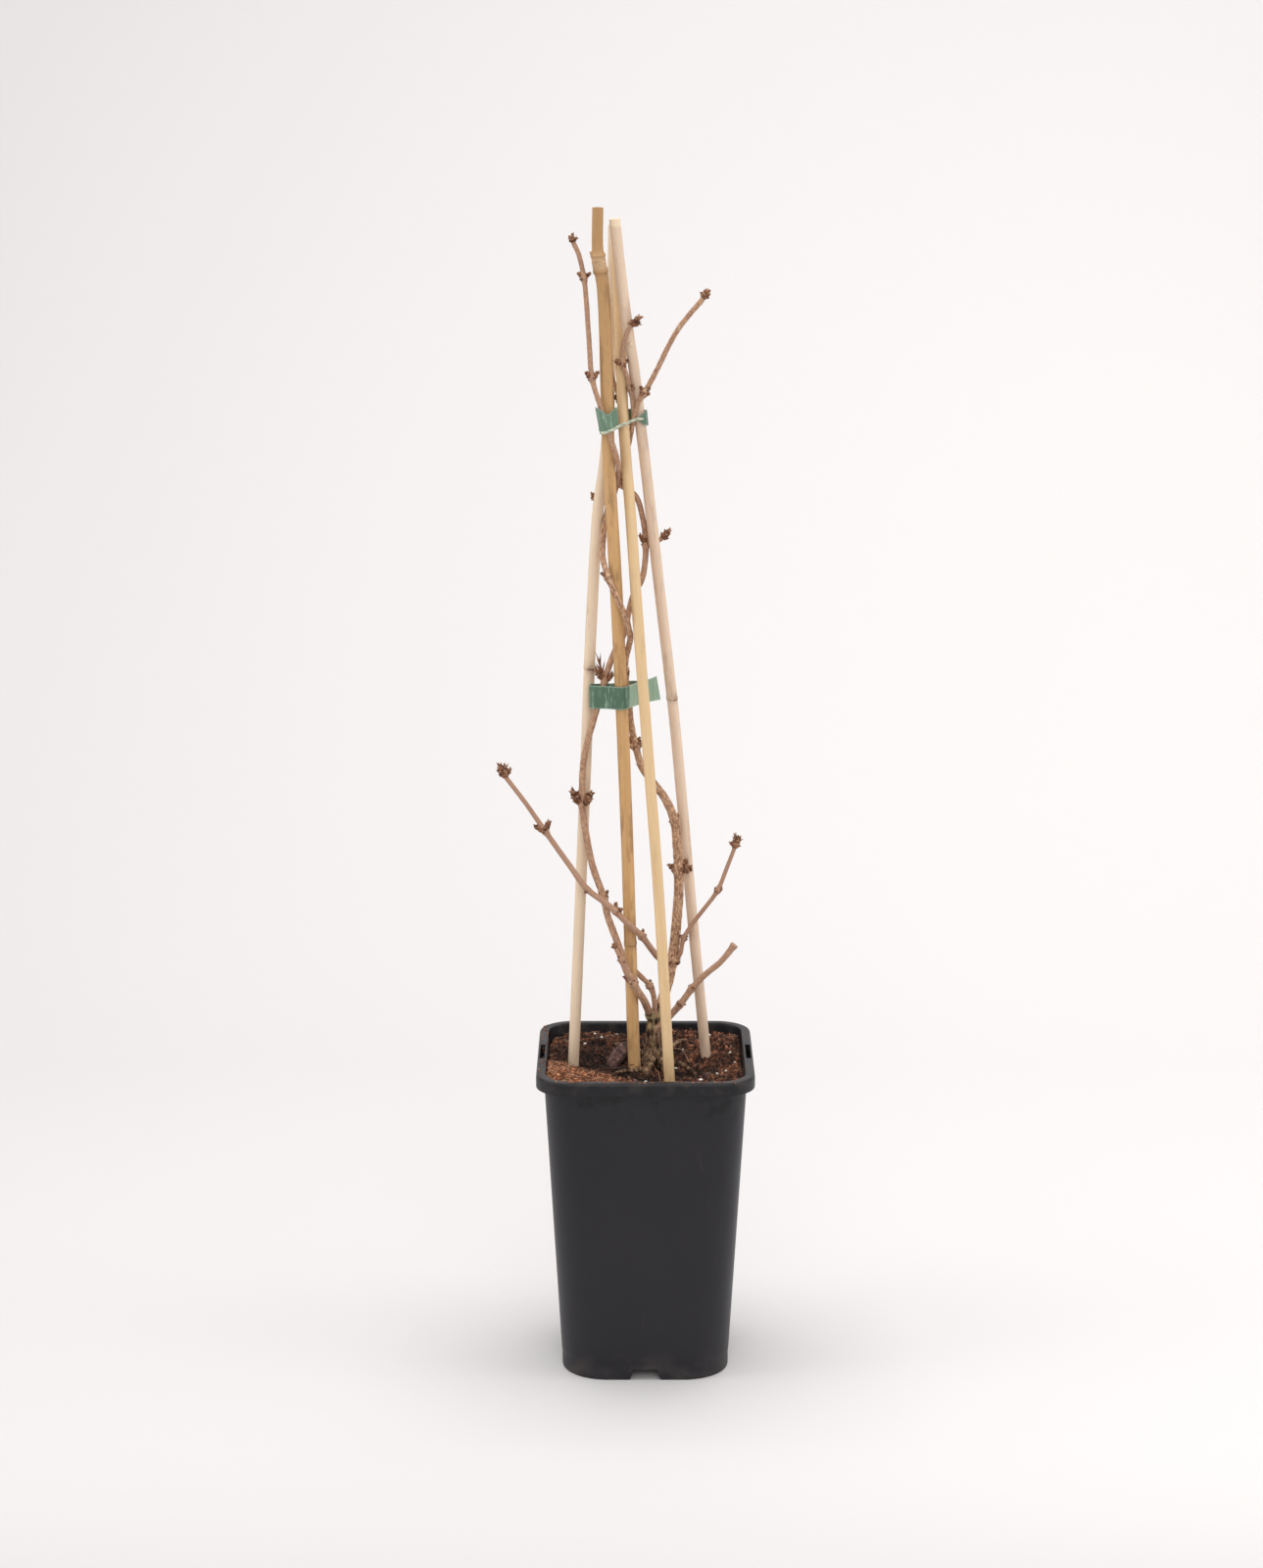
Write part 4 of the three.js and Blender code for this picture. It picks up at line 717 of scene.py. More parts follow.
def paint_perlite(nodes):
    pores = nodes.noise(nodes.place(), 1400, detail=5)
    return nodes.surface(
        nodes.ramp(pores, [(0.35, (0.55, 0.48, 0.4)), (0.5, (0.86, 0.83, 0.78))]),
        0.75 + pores * 0.2,
        pores, 0.0003, 0.8,
    )


def paint_crown(nodes, moss_colour):
    place = nodes.place()
    height = nodes.height()
    ridges = nodes.noise(nodes.drawn_out(place, 0.3), 520, detail=6, roughness=0.65)
    patches = nodes.noise(place, 150, detail=4)
    bark = nodes.ramp(ridges * 0.7 + patches * 0.3, [
        (0.39, (0.016, 0.008, 0.005)), (0.46, (0.070, 0.037, 0.020)),
        (0.53, (0.19, 0.112, 0.062)), (0.62, (0.42, 0.30, 0.19)),
    ])
    moss = nodes.span(height, 0.201, 0.207) * nodes.span(height, 0.219, 0.212)
    mossy = nodes.mix(moss * nodes.span(ridges, 0.45, 0.62) * 0.8, bark, tuple(moss_colour))
    return nodes.surface(
        mossy,
        0.75 + ridges * 0.2,
        ridges, 0.0012, 0.9,
    )


def paint_bark(nodes, young_colour, old_colour):
    """Bark that ages from smooth purplish shoots to flaky reddish stems, and scaly buds."""
    grain = nodes.grain()
    age, tint, kind, reach = nodes.attributes("age", "tint", "kind", "reach")
    fibres = nodes.noise(nodes.drawn_out(grain, 0.09), 1500, detail=5, roughness=0.65)
    flakes = nodes.noise(nodes.drawn_out(grain, 0.5), 900, detail=5, roughness=0.65)
    broad = nodes.noise(nodes.drawn_out(grain, 0.5), 70, detail=2)
    young = nodes.mix(broad, toned((0.29, 0.15, 0.10), young_colour, YOUNG_BARK), tuple(young_colour))
    young = nodes.mix(nodes.span(fibres, 0.52, 0.7) * 0.5, young, (0.12, 0.055, 0.042))
    old = nodes.ramp(flakes * 0.7 + fibres * 0.3, [
        (level, toned(colour, old_colour, OLD_BARK)) for level, colour in (
            (0.36, (0.09, 0.044, 0.028)), (0.44, (0.28, 0.155, 0.10)),
            (0.51, OLD_BARK), (0.61, (0.68, 0.475, 0.305)),
        )
    ])
    specks = nodes.span(nodes.cells(nodes.drawn_out(grain, 0.6), 1250), 0.34, 0.16)
    bark = nodes.mix(age, young, old)
    bark = nodes.mix(specks * (0.2 + age * 0.3), bark, (0.05, 0.022, 0.014))
    skin = nodes.noise(nodes.place(), 1300)
    scale = nodes.mix(tint, (0.10, 0.03, 0.014), (0.33, 0.15, 0.075))
    scale = nodes.mix(nodes.span(skin, 0.48, 0.66) * 0.5, scale, (0.05, 0.02, 0.012))
    scale = nodes.mix(nodes.span(reach, 0.72, 1.0) * 0.75, scale, (0.60, 0.42, 0.28))
    strip = nodes.mix(tint, (0.28, 0.12, 0.05), (0.55, 0.31, 0.15))
    part = nodes.mix(nodes.span(kind, 2.4, 2.6), scale, strip)
    return nodes.surface(
        nodes.mix(nodes.span(kind, 0.4, 0.6), bark, part),
        0.55 + age * 0.2 + fibres * 0.15,
        fibres * 0.6 + flakes * 0.4, 0.00035, 0.8,
    )


def paint_bamboo(nodes, light, dark, streak, stain, rings, patchy,
                 highlight_above=None, darker_above=None, joint=None):
    """Dry bamboo with lengthwise fibres, patches, dark lines at its joints, a stained foot and, if asked,
    a painted highlight at its top.
    """
    grain = nodes.grain()
    height = nodes.height()
    fibres = nodes.noise(nodes.drawn_out(grain, 0.012), 2600, detail=4, roughness=0.7)
    bands = nodes.noise(nodes.drawn_out(grain, 0.05), 420, detail=3)
    patches = nodes.noise(nodes.drawn_out(grain, 0.22), 150, detail=5, roughness=0.6)
    fleck = nodes.span(nodes.noise(nodes.drawn_out(grain, 0.2), 1300, detail=2), 0.66, 0.76)
    colour = nodes.mix(bands, dark, light)
    colour = nodes.mix(nodes.span(fibres, 0.5, 0.78) * 0.5, colour, streak)
    stained = nodes.span(patches, 0.54 - 0.08 * patchy, 0.7 - 0.1 * patchy)
    colour = nodes.mix(stained * patchy, colour, stain)
    colour = nodes.mix(fleck * (0.25 + 0.5 * patchy), colour, stain)
    if darker_above:
        weathered = nodes.span(height, darker_above - 0.12, darker_above + 0.12)
        colour = nodes.mix(weathered * (0.25 + bands * 0.35), colour, stain)
    foot = nodes.span(height, 0.215, 0.184) * nodes.span(patches, 0.35, 0.6)
    colour = nodes.mix(foot * 0.35, colour, stain)
    if joint:
        speckled = nodes.band(height, joint * MM, 0.0062)
        spots = nodes.span(nodes.noise(nodes.drawn_out(grain, 0.8), 1500, detail=2), 0.5, 0.6)
        pale = nodes.mix(spots, (0.62, 0.43, 0.27), (0.25, 0.125, 0.06))
        colour = nodes.mix(speckled * 0.8, colour, pale)
    marks = 0.0
    for ring in rings:
        line = nodes.band(height, ring * MM - 0.0011, 0.0007)
        halo = nodes.band(height, ring * MM, 0.006) * nodes.span(patches, 0.35, 0.65) * 0.55
        marks = line * (0.2 + 0.5 * nodes.span(patches, 0.4, 0.6)) + halo + marks
    if rings:
        colour = nodes.mix(marks.clipped(), colour, (0.16, 0.075, 0.04))
    # Painted highlight: a pale band at the top of the cane.
    if highlight_above:
        top_highlight = nodes.span(height, highlight_above - 0.0006, highlight_above + 0.0006)
        colour = nodes.mix(top_highlight * 0.8, colour, (0.80, 0.66, 0.46))
    return nodes.surface(
        colour,
        0.4 + fibres * 0.18 + patches * 0.12,
        fibres * 0.7 + bands * 0.5, 0.00012, 0.7,
    )


def paint_cut_end(nodes):
    place = nodes.place()
    pores = nodes.cells(place, 2600)
    return nodes.surface(
        nodes.mix(nodes.span(pores, 0.1, 0.4), (0.30, 0.17, 0.08), (0.72, 0.56, 0.36)),
        0.7 + nodes.noise(place, 900) * 0.2,
        pores, 0.0003, 0.7,
    )


def paint_tape(nodes, green):
    """Thin green tape: darker where it lies double and, on the top tie, with painted shade; creases
    across it with painted sheen along them, and painted highlights along its edges.
    """
    along, across, doubled = nodes.attributes("along", "across", "doubled")
    line = nodes.add("ShaderNodeCombineXYZ", {}, {0: along, 1: across * 0.002})
    creases_and_sheen = nodes.noise(line, 520, detail=4, roughness=0.7)
    broad = nodes.noise(line, 130, detail=2)
    single, double = (
        nodes.mix(broad, toned(dark, green, TAPE_GREEN), toned(light, green, TAPE_GREEN))
        for dark, light in (
            ((0.175, 0.285, 0.195), TAPE_GREEN), ((0.042, 0.098, 0.060), (0.085, 0.165, 0.102)),
        )
    )
    # Darker where the tape lies double, and on the top tie partly painted shade.
    colour = nodes.mix(doubled, single, double)
    # Painted sheen: streaks lighter along the creases.
    colour = nodes.mix(nodes.span(creases_and_sheen, 0.5, 0.68) * 0.6, colour, (0.36, 0.50, 0.40))
    # Painted highlight: paler along both edges of the tape.
    edge = (nodes.span(across, 0.07, 0.0) + nodes.span(across, 0.93, 1.0)).clipped()
    return nodes.surface(
        nodes.mix(edge * 0.25, colour, (0.62, 0.74, 0.64)),
        0.3 + creases_and_sheen * 0.25,
        creases_and_sheen, 0.0004, 0.8,
    )


def paint_cord(nodes):
    grain = nodes.grain()
    [tint] = nodes.attributes("tint")
    folds = nodes.noise(nodes.drawn_out(grain, 0.2), 1500, detail=3)
    colour = nodes.ramp(tint, [
        (0.0, (0.15, 0.23, 0.16)), (0.5, (0.33, 0.38, 0.29)), (1.0, (0.58, 0.58, 0.45)),
    ])
    return nodes.surface(
        nodes.mix(nodes.span(folds, 0.5, 0.7) * 0.4, colour, (0.12, 0.2, 0.13)),
        0.35 + folds * 0.25,
        folds, 0.0003, 0.8,
    )


def paint_floor(nodes):
    """White paper with painted shade to the left and in front, and clear where it is seen from behind."""
    place = nodes.place()
    parts = nodes.add("ShaderNodeSeparateXYZ", {}, {0: place})
    cloud = nodes.noise(place, 0.8, detail=2)
    # Painted shade: the paper greys towards the left.
    paper = nodes.mix(nodes.span(parts.output("X"), -1.2, 0.9) * 0.85 + cloud * 0.15,
                      (0.60, 0.592, 0.597), (0.735, 0.722, 0.725))
    # Painted shade: the paper greys towards the front.
    front_shade = nodes.span(parts.output("Y"), -0.14, -0.55)
    behind = nodes.add("ShaderNodeNewGeometry", {}, {}).output("Backfacing")
    return {
        "Base Color": nodes.mix(front_shade * 0.75, paper, (0.50, 0.495, 0.50)),
        "Roughness": 0.75 + cloud * 0.1,
        "Alpha": behind * -1 + 1,
    }


class Route:
    """A smooth line through route points, in metres, with places by their distance along it."""

    STEPS = 24

    def __init__(self, points, closed=False):
        given = [Vector(point) * MM for point in points]
        if closed:
            chain = [given[-1], *given, given[0], given[1]]
        else:
            chain = [2 * given[0] - given[1], *given, 2 * given[-1] - given[-2]]
        self.line = []
        for four in zip(chain, chain[1:], chain[2:], chain[3:]):
            self.line += [self.between(*four, step / self.STEPS) for step in range(self.STEPS)]
        self.line.append(given[0] if closed else given[-1])
        self.far = [0.0]
        for start, end in zip(self.line, self.line[1:]):
            self.far.append(self.far[-1] + (end - start).length)
        self.marks = self.far[::self.STEPS]
        self.length = self.far[-1]
        self.tangents = [
            (self.line[min(i + 1, len(self.line) - 1)] - self.line[max(i - 1, 0)]).normalized()
            for i in range(len(self.line))
        ]
        side = self.tangents[0].orthogonal().normalized()
        self.sides = []
        for tangent in self.tangents:
            side = (side - tangent * side.dot(tangent)).normalized()
            self.sides.append(side)

    @staticmethod
    def between(before, start, end, after, share):
        """A centripetal spline from start to end."""
        gap = [math.sqrt((b - a).length) for a, b in ((before, start), (start, end), (end, after))]
        lead = (start - before) / gap[0] - (end - before) / (gap[0] + gap[1]) + (end - start) / gap[1]
        tail = (end - start) / gap[1] - (after - start) / (gap[1] + gap[2]) + (after - end) / gap[2]
        lead *= gap[1]
        tail *= gap[1]
        curve = 2 * start - 2 * end + lead + tail
        bend = -3 * start + 3 * end - 2 * lead - tail
        return start + share * (lead + share * (bend + share * curve))

    def at(self, distance):
        """The point, the way on and a side way at a distance."""
        distance = min(max(distance, 0.0), self.length)
        high = min(bisect.bisect_right(self.far, distance), len(self.far) - 1)
        low = high - 1
        share = (distance - self.far[low]) / max(self.far[high] - self.far[low], 1e-9)
        point = self.line[low].lerp(self.line[high], share)
        tangent = self.tangents[low].lerp(self.tangents[high], share).normalized()
        side = self.sides[low].lerp(self.sides[high], share)
        return point, tangent, (side - tangent * side.dot(tangent)).normalized()

    def height_mark(self, height):
        """The distance at which the line reaches a height."""
        return next(far for far, point in zip(self.far, self.line) if point.z >= height)


def spread(values, share):
    """A value at a share of the way through values that are spread evenly."""
    place = min(max(share, 0.0), 1.0) * (len(values) - 1)
    low = min(int(place), len(values) - 2)
    return values[low] + (values[low + 1] - values[low]) * (place - low)


def swelling(distance, middle, height, reach):
    return height * math.exp(-((distance - middle) / reach) ** 2)


def round_end(from_end, radius):
    """Shrinks a radius towards a rounded end."""
    return math.sqrt(max(1 - (1 - min(from_end / radius, 1)) ** 2, 0.02))


def keep_values(mesh, name, numbers, kind="FLOAT"):
    """Stores numbers at a mesh's points."""
    field = "vector" if kind == "FLOAT_VECTOR" else "value"
    mesh.attributes.new(name, kind, "POINT").data.foreach_set(field, numbers)


def mesh_of(body, name):
    """Turns a bmesh into a mesh."""
    mesh = bpy.data.meshes.new(name)
    body.to_mesh(mesh)
    body.free()
    return mesh


def tube_faces(rings, count):
    """Quads between rings of points that follow one another in a list."""
    faces = []
    for low in range(0, (rings - 1) * count, count):
        for step in range(count):
            after = (step + 1) % count
            faces.append((low + step, low + after, low + count + after, low + count + step))
    return faces


class Lines:
    """Gathers the lines that a sweep follows, with numbers stored at each of their points."""

    def __init__(self, spacing, sides, relief_scale):
        self.spacing = spacing
        self.sides = sides
        self.relief_scale = relief_scale
        self.points = []
        self.edges = []
        self.values = {}

    def add(self, route, thickness, **values):
        """Adds a route; its thickness is a function of distance, and other values may be."""
        steps = max(3, round(route.length / self.spacing))
        first = len(self.points)
        for step in range(steps + 1):
            distance = route.length * step / steps
            self.points.append(route.at(distance)[0])
            self.store("along", distance)
            self.store("thick", thickness(distance))
            for name, value in values.items():
                self.store(name, value(distance) if callable(value) else value)
        self.edges += [(first + step, first + step + 1) for step in range(steps)]

    def store(self, name, value):
        self.values.setdefault(name, []).append(value)

    def mesh(self, name):
        mesh = bpy.data.meshes.new(name)
        mesh.from_pydata(self.points, self.edges, [])
        for key, numbers in self.values.items():
            keep_values(mesh, key, numbers)
        return mesh


def heading(spec):
    """The way that a bud points."""
    rise, turn = math.radians(spec["rise"]), math.radians(spec["turn"])
    return Vector((math.cos(rise) * math.cos(turn), math.cos(rise) * math.sin(turn), math.sin(rise)))


class Shapes:
    """Gathers the small shapes set on a stem: place, turn, size, kind and tint."""

    KINDS = ("scale", "core", "strip")

    def __init__(self, seed=0):
        self.rows = []
        self.chance = random.Random(seed)

    def add(self, kind, place, outward, grow, size):
        """Sets a shape that grows one way with its outer face turned outward."""
        side = outward.cross(grow).normalized()
        outward = grow.cross(side)
        turn = Matrix((side, outward, grow)).transposed().to_euler()
        number = self.KINDS.index(kind)
        self.rows.append((place, Vector(turn), Vector(size), number, self.chance.random()))

    def mesh(self, name):
        mesh = bpy.data.meshes.new(name)
        mesh.from_pydata([row[0] for row in self.rows], [], [])
        for key, column in (("aim", 1), ("size", 2)):
            numbers = [part for row in self.rows for part in row[column]]
            keep_values(mesh, key, numbers, "FLOAT_VECTOR")
        keep_values(mesh, "pick", [row[3] for row in self.rows], "INT")
        keep_values(mesh, "kind", [row[3] + 1.0 for row in self.rows])
        keep_values(mesh, "tint", [row[4] for row in self.rows])
        return mesh

    def add_bud(self, spec, place):
        """A pointed core with opposite pairs of scales, the outer ones short and standing off."""
        chance = self.chance
        length = spec["length"] * MM
        width = spec["width"] * BUD_FULLNESS * MM
        aim = heading(spec)
        side = aim.orthogonal().normalized()
        other = aim.cross(side)
        core = (width * 0.78, width * 0.78, length * 1.08)
        self.add("core", place - aim * length * 0.15, side, aim, core)
        pairs = 3 if length < 3.4 * MM else 4 if length < 6.5 * MM else 5
        phase = chance.uniform(0, math.pi)
        for step in range(pairs):
            share = step / (pairs - 1)
            for half in (0, math.pi):
                angle = phase + step * math.pi / 2 + half + chance.uniform(-0.3, 0.3)
                out = side * math.cos(angle) + other * math.sin(angle)
                lean = 0.32 - 0.24 * share + chance.uniform(-0.08, 0.26)
                grow = aim * math.cos(lean) + out * math.sin(lean)
                root = place + aim * length * (0.5 * share - 0.12)
                root += out * width * (0.3 - 0.16 * share)
                broad = width * (1.05 - 0.35 * share) * chance.uniform(0.9, 1.1)
                long = length * (0.42 + 0.14 * share) * chance.uniform(0.9, 1.15)
                self.add("scale", root, out, grow, (broad, broad, long))

    def add_collar(self, route, mark, radius, swell):
        """Old leaf bases that clasp a joint."""
        chance = self.chance
        count = 7 if swell < 0.6 else 12
        for step in range(count):
            centre, tangent, side = route.at(mark + chance.uniform(-1.9, 0.9) * MM)
            angle = math.tau * step * 0.38 + chance.uniform(-0.4, 0.4)
            out = Matrix.Rotation(angle, 3, tangent) @ side
            lean = chance.uniform(0.1, 0.75)
            grow = tangent * math.cos(lean) + out * math.sin(lean)
            size = radius * chance.uniform(0.9, 1.5)
            length = chance.uniform(1.3, 2.3) * MM * (0.8 + 0.5 * swell)
            self.add("scale", centre + out * radius * 0.8, out, grow, (size, size * 1.3, length))

    def add_peel(self, route, radius_at, count, start, end):
        """Strips of old bark that lift from a stem."""
        chance = self.chance
        for _ in range(count):
            distance = chance.uniform(start, end)
            centre, tangent, side = route.at(distance)
            out = Matrix.Rotation(chance.uniform(0, math.tau), 3, tangent) @ side
            grow = tangent * chance.choice((1, -1)) + out.cross(tangent) * chance.uniform(-0.15, 0.15)
            size = [chance.uniform(*ends) * MM for ends in ((0.5, 1.1), (0.3, 1.1), (3, 9))]
            self.add("strip", centre + out * radius_at(distance) * 0.9, out, grow.normalized(), size)


def new_object(name, data):
    obj = bpy.data.objects.new(name, data)
    bpy.context.scene.collection.objects.link(obj)
    return obj


def mesh_from(name, points, faces, values=None):
    """A mesh of points and faces, with numbers stored at its points."""
    mesh = bpy.data.meshes.new(name)
    mesh.from_pydata(points, [], faces)
    for key, numbers in (values or {}).items():
        keep_values(mesh, key, numbers)
    mesh.validate()
    return mesh


def bake(obj):
    """Turns an object and its modifiers into a plain mesh."""
    view = bpy.context.evaluated_depsgraph_get()
    view.update()
    mesh = bpy.data.meshes.new_from_object(obj.evaluated_get(view))
    obj.modifiers.clear()
    old = obj.data
    obj.data = mesh
    bpy.data.meshes.remove(old)
    mesh.name = obj.name


def run_nodes(obj, tree, values):
    """Runs a Geometry Nodes tree on an object, with its inputs given by the names of its sockets."""
    modifier = obj.modifiers.new(tree.name, "NODES")
    modifier.node_group = tree
    for item in tree.interface.items_tree:
        if item.item_type == "SOCKET" and item.in_out == "INPUT" and item.name in values:
            modifier[item.identifier] = values[item.name]
    bake(obj)


def remove(obj):
    mesh = obj.data
    bpy.data.objects.remove(obj)
    bpy.data.meshes.remove(mesh)


def dress(obj, slot, *nodes):
    """Keeps a finished piece inside the CAD model's box and hands it to the frame."""
    low, high = CAD_BOX
    for vert in obj.data.vertices:
        for axis in range(3):
            vert.co[axis] = min(max(vert.co[axis], low[axis]), high[axis])
    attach(obj, "root")
    if nodes:
        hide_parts(*nodes)


def smooth(mesh, sharp_above=None):
    mesh.polygons.foreach_set("use_smooth", [True] * len(mesh.polygons))
    if sharp_above:
        mesh.set_sharp_from_angle(angle=math.radians(sharp_above))
    return mesh


def lump(seed, subdivisions, rough, stretch):
    """A closed uneven lump about 1 across."""
    body = bmesh.new()
    bmesh.ops.create_icosphere(body, subdivisions=subdivisions, radius=0.5)
    shift = Vector((seed * 7.3, seed * 3.1, seed * 5.7))
    for vert in body.verts:
        vert.co *= 1 + rough * noise.noise(vert.co * 2.6 + shift)
        vert.co = Vector(a * b for a, b in zip(vert.co, stretch))
    return smooth(mesh_of(body, "lump"))


def strand(bends, radius, steps=6, sides=3):
    """A closed thin strand about 1 long, bent in two directions."""
    points = []
    for step in range(steps + 1):
        share = step / steps
        sideways, upwards = math.sin(math.pi * share), math.sin(2.2 * share)
        middle = Vector((share - 0.5, bends[0] * sideways, bends[1] * upwards))
        reach = radius * (1 - 0.6 * abs(2 * share - 1) ** 2)
        for side in range(sides):
            angle = math.tau * side / sides
            points.append(middle + Vector((0, math.cos(angle), math.sin(angle))) * reach)
    faces = tube_faces(steps + 1, sides)
    faces += [tuple(reversed(range(sides))), tuple(range(steps * sides, (steps + 1) * sides))]
    return smooth(mesh_from("strand", points, faces))


def leaf_scale(length_steps, width_steps, outline, bow, lift, thickness):
    """A closed curved scale 1 long and 1 wide that grows along Z with its outer face to +Y."""
    points, reach, faces = [], [], []
    for side in (1, -1):
        for step in range(length_steps + 1):
            share = step / length_steps
            half = 0.5 * spread(outline, share)
            for column in range(width_steps + 1):
                across = 2 * column / width_steps - 1
                away = lift * share ** 2 - bow * (across * half) ** 2 * 4
                wall = thickness * (1 - across ** 2) * (1 - share ** 3) * side * 0.5
                points.append((across * half, away + wall, share))
                reach.append(share)
    row = width_steps + 1
    back = row * (length_steps + 1)
    for step in range(length_steps):
        for column in range(width_steps):
            a, b = step * row + column, (step + 1) * row + column
            faces.append((a + 1, a, b, b + 1))
            faces.append((back + a, back + a + 1, back + b + 1, back + b))
    body = bmesh.new()
    layer = body.verts.layers.float.new("reach")
    verts = [body.verts.new(point) for point in points]
    for vert, value in zip(verts, reach):
        vert[layer] = value
    for face in faces:
        body.faces.new([verts[i] for i in face])
    bmesh.ops.remove_doubles(body, verts=body.verts, dist=1e-5)
    holes = [edge for edge in body.edges if edge.is_boundary]
    if holes:
        bmesh.ops.holes_fill(body, edges=holes)
    bmesh.ops.recalc_face_normals(body, faces=body.faces)
    return smooth(mesh_of(body, "scale"))


def bud_core():
    """A closed pointed bud heart, 1 long and 1 wide, along Z."""
    points, reach = [], []
    profile = [(0.0, 0.3), (0.12, 0.42), (0.32, 0.5), (0.55, 0.42), (0.78, 0.24), (0.93, 0.09)]
    sides = 8
    for height, radius in profile:
        for side in range(sides):
            angle = math.tau * side / sides
            points.append((radius * math.cos(angle), radius * math.sin(angle), height))
            reach.append(height)
    points.append((0, 0, 1))
    reach.append(1)
    top = len(points) - 1
    last = top - sides
    faces = tube_faces(len(profile), sides)
    faces += [(last + side, last + (side + 1) % sides, top) for side in range(sides)]
    faces.append(tuple(reversed(range(sides))))
    return smooth(mesh_from("core", points, faces, {"reach": reach}))


def shape_library(name, meshes):
    """A collection of shapes for trees to pick from, outside the scene. Returns it."""
    library = bpy.data.collections.new(name)
    for index, mesh in enumerate(meshes):
        library.objects.link(bpy.data.objects.new(f"{name}_{index}", mesh))
    return library


def clear_library(library):
    for obj in list(library.objects):
        remove(obj)
    bpy.data.collections.remove(library)


def stem_shapes():
    scale = leaf_scale(5, 4, (0.85, 1.0, 1.0, 0.86, 0.55, 0.08), 0.5, 0.1, 0.22)
    strip = leaf_scale(6, 2, (0.5, 1.0, 0.8, 0.9, 0.6, 0.5, 0.1), 0.25, 0.9, 0.1)
    return shape_library("stem_shape", [scale, bud_core(), strip])


def new_tree(name, sockets):
    """A Geometry Nodes tree with named inputs, and its nodes and its group input."""
    tree = bpy.data.node_groups.new(name, "GeometryNodeTree")
    tree.interface.new_socket("Geometry", in_out="INPUT", socket_type="NodeSocketGeometry")
    for socket, kind in sockets.items():
        tree.interface.new_socket(socket, in_out="INPUT", socket_type=f"NodeSocket{kind}")
    tree.interface.new_socket("Geometry", in_out="OUTPUT", socket_type="NodeSocketGeometry")
    nodes = Nodes(tree)
    return tree, nodes, nodes.add("NodeGroupInput")


def read_stored(nodes, name, kind="FLOAT"):
    return nodes.add("GeometryNodeInputNamedAttribute", {"data_type": kind}, {"Name": name})


def store(nodes, geometry, name, value, kind="FLOAT", domain="POINT"):
    settings = {"data_type": kind, "domain": domain}
    return nodes.add("GeometryNodeStoreNamedAttribute", settings,
                     {"Geometry": geometry, "Name": name, "Value": value})


def set_shapes(nodes, given, points, turn, scale, picked=None):
    """Sets shapes of the given collection on points, turned by Euler angles."""
    shapes = nodes.add("GeometryNodeCollectionInfo", {}, {
        "Collection": given.output("Shapes"), "Separate Children": True, "Reset Children": True,
    })
    return nodes.add("GeometryNodeInstanceOnPoints", {}, {
        "Points": points, "Instance": shapes, "Pick Instance": True, "Scale": scale,
        **(picked or {}),
        "Rotation": nodes.add("FunctionNodeEulerToRotation", {}, {0: turn}),
    })


def chance_value(nodes, low, high, seed):
    """A number drawn anew for each shape."""
    node = nodes.add("FunctionNodeRandomValue", {"data_type": "FLOAT"}, {2: low, 3: high, "Seed": seed})
    return Value(nodes, node.socket.node.outputs[1])


def end_tree(nodes, geometry, material):
    """Ends a tree: plain geometry, smooth, with its material."""
    plain = nodes.add("GeometryNodeRealizeInstances", {}, {"Geometry": geometry})
    shaded = nodes.add("GeometryNodeSetShadeSmooth", {}, {"Geometry": plain})
    final = nodes.add("GeometryNodeSetMaterial", {}, {"Geometry": shaded, "Material": material})
    nodes.add("NodeGroupOutput", {}, {"Geometry": final})


SWEEP_TREE = "Round skin along lines"


def build_sweep_tree():
    """Gives each line a round skin with relief, and sets small shapes at points beside it."""
    tree, nodes, given = new_tree(SWEEP_TREE, {
        "Sides": "Int", "Relief scale": "Float", "Shape places": "Object", "Shapes": "Collection",
        "Material": "Material",
    })
    curve = nodes.add("GeometryNodeMeshToCurve", {}, {"Mesh": given.output("Geometry")})
    circle = nodes.add("GeometryNodeCurvePrimitiveCircle", {"mode": "RADIUS"},
                       {"Resolution": given.output("Sides"), "Radius": 1.0})
    position = nodes.add("GeometryNodeInputPosition")
    ring = store(nodes, circle, "ring", position, "FLOAT_VECTOR")
    thick = read_stored(nodes, "thick")
    skin = nodes.add("GeometryNodeCurveToMesh", {}, {
        "Curve": curve, "Profile Curve": ring, "Scale": thick, "Fill Caps": True,
    })
    around = nodes.add("ShaderNodeVectorMath", {"operation": "SCALE"},
                       {0: read_stored(nodes, "ring", "FLOAT_VECTOR"), "Scale": thick})
    onward = nodes.add("ShaderNodeCombineXYZ", {}, {2: read_stored(nodes, "along")})
    grain = nodes.add("ShaderNodeVectorMath", {"operation": "ADD"}, {0: around, 1: onward})
    skin = store(nodes, skin, "grain", grain, "FLOAT_VECTOR")
    line = nodes.drawn_out(read_stored(nodes, "grain", "FLOAT_VECTOR"), 0.3)
    relief = nodes.noise(line, given.output("Relief scale"), detail=3.0)
    push = (relief - 0.5) * 2 * read_stored(nodes, "rough")
    offset = nodes.add("ShaderNodeVectorMath", {"operation": "SCALE"},
                       {0: nodes.add("GeometryNodeInputNormal"), "Scale": push})
    skin = nodes.add("GeometryNodeSetPosition", {}, {"Geometry": skin, "Offset": offset})
    places = nodes.add("GeometryNodeObjectInfo", {}, {"Object": given.output("Shape places")})
    aim, size = (read_stored(nodes, name, "FLOAT_VECTOR") for name in ("aim", "size"))
    picked = {"Instance Index": read_stored(nodes, "pick", "INT")}
    copies = set_shapes(nodes, given, places.output("Geometry"), aim, size, picked)
    both = nodes.add("GeometryNodeJoinGeometry", {}, {"Geometry": [skin, copies]})
    end_tree(nodes, both, given.output("Material"))
    return tree


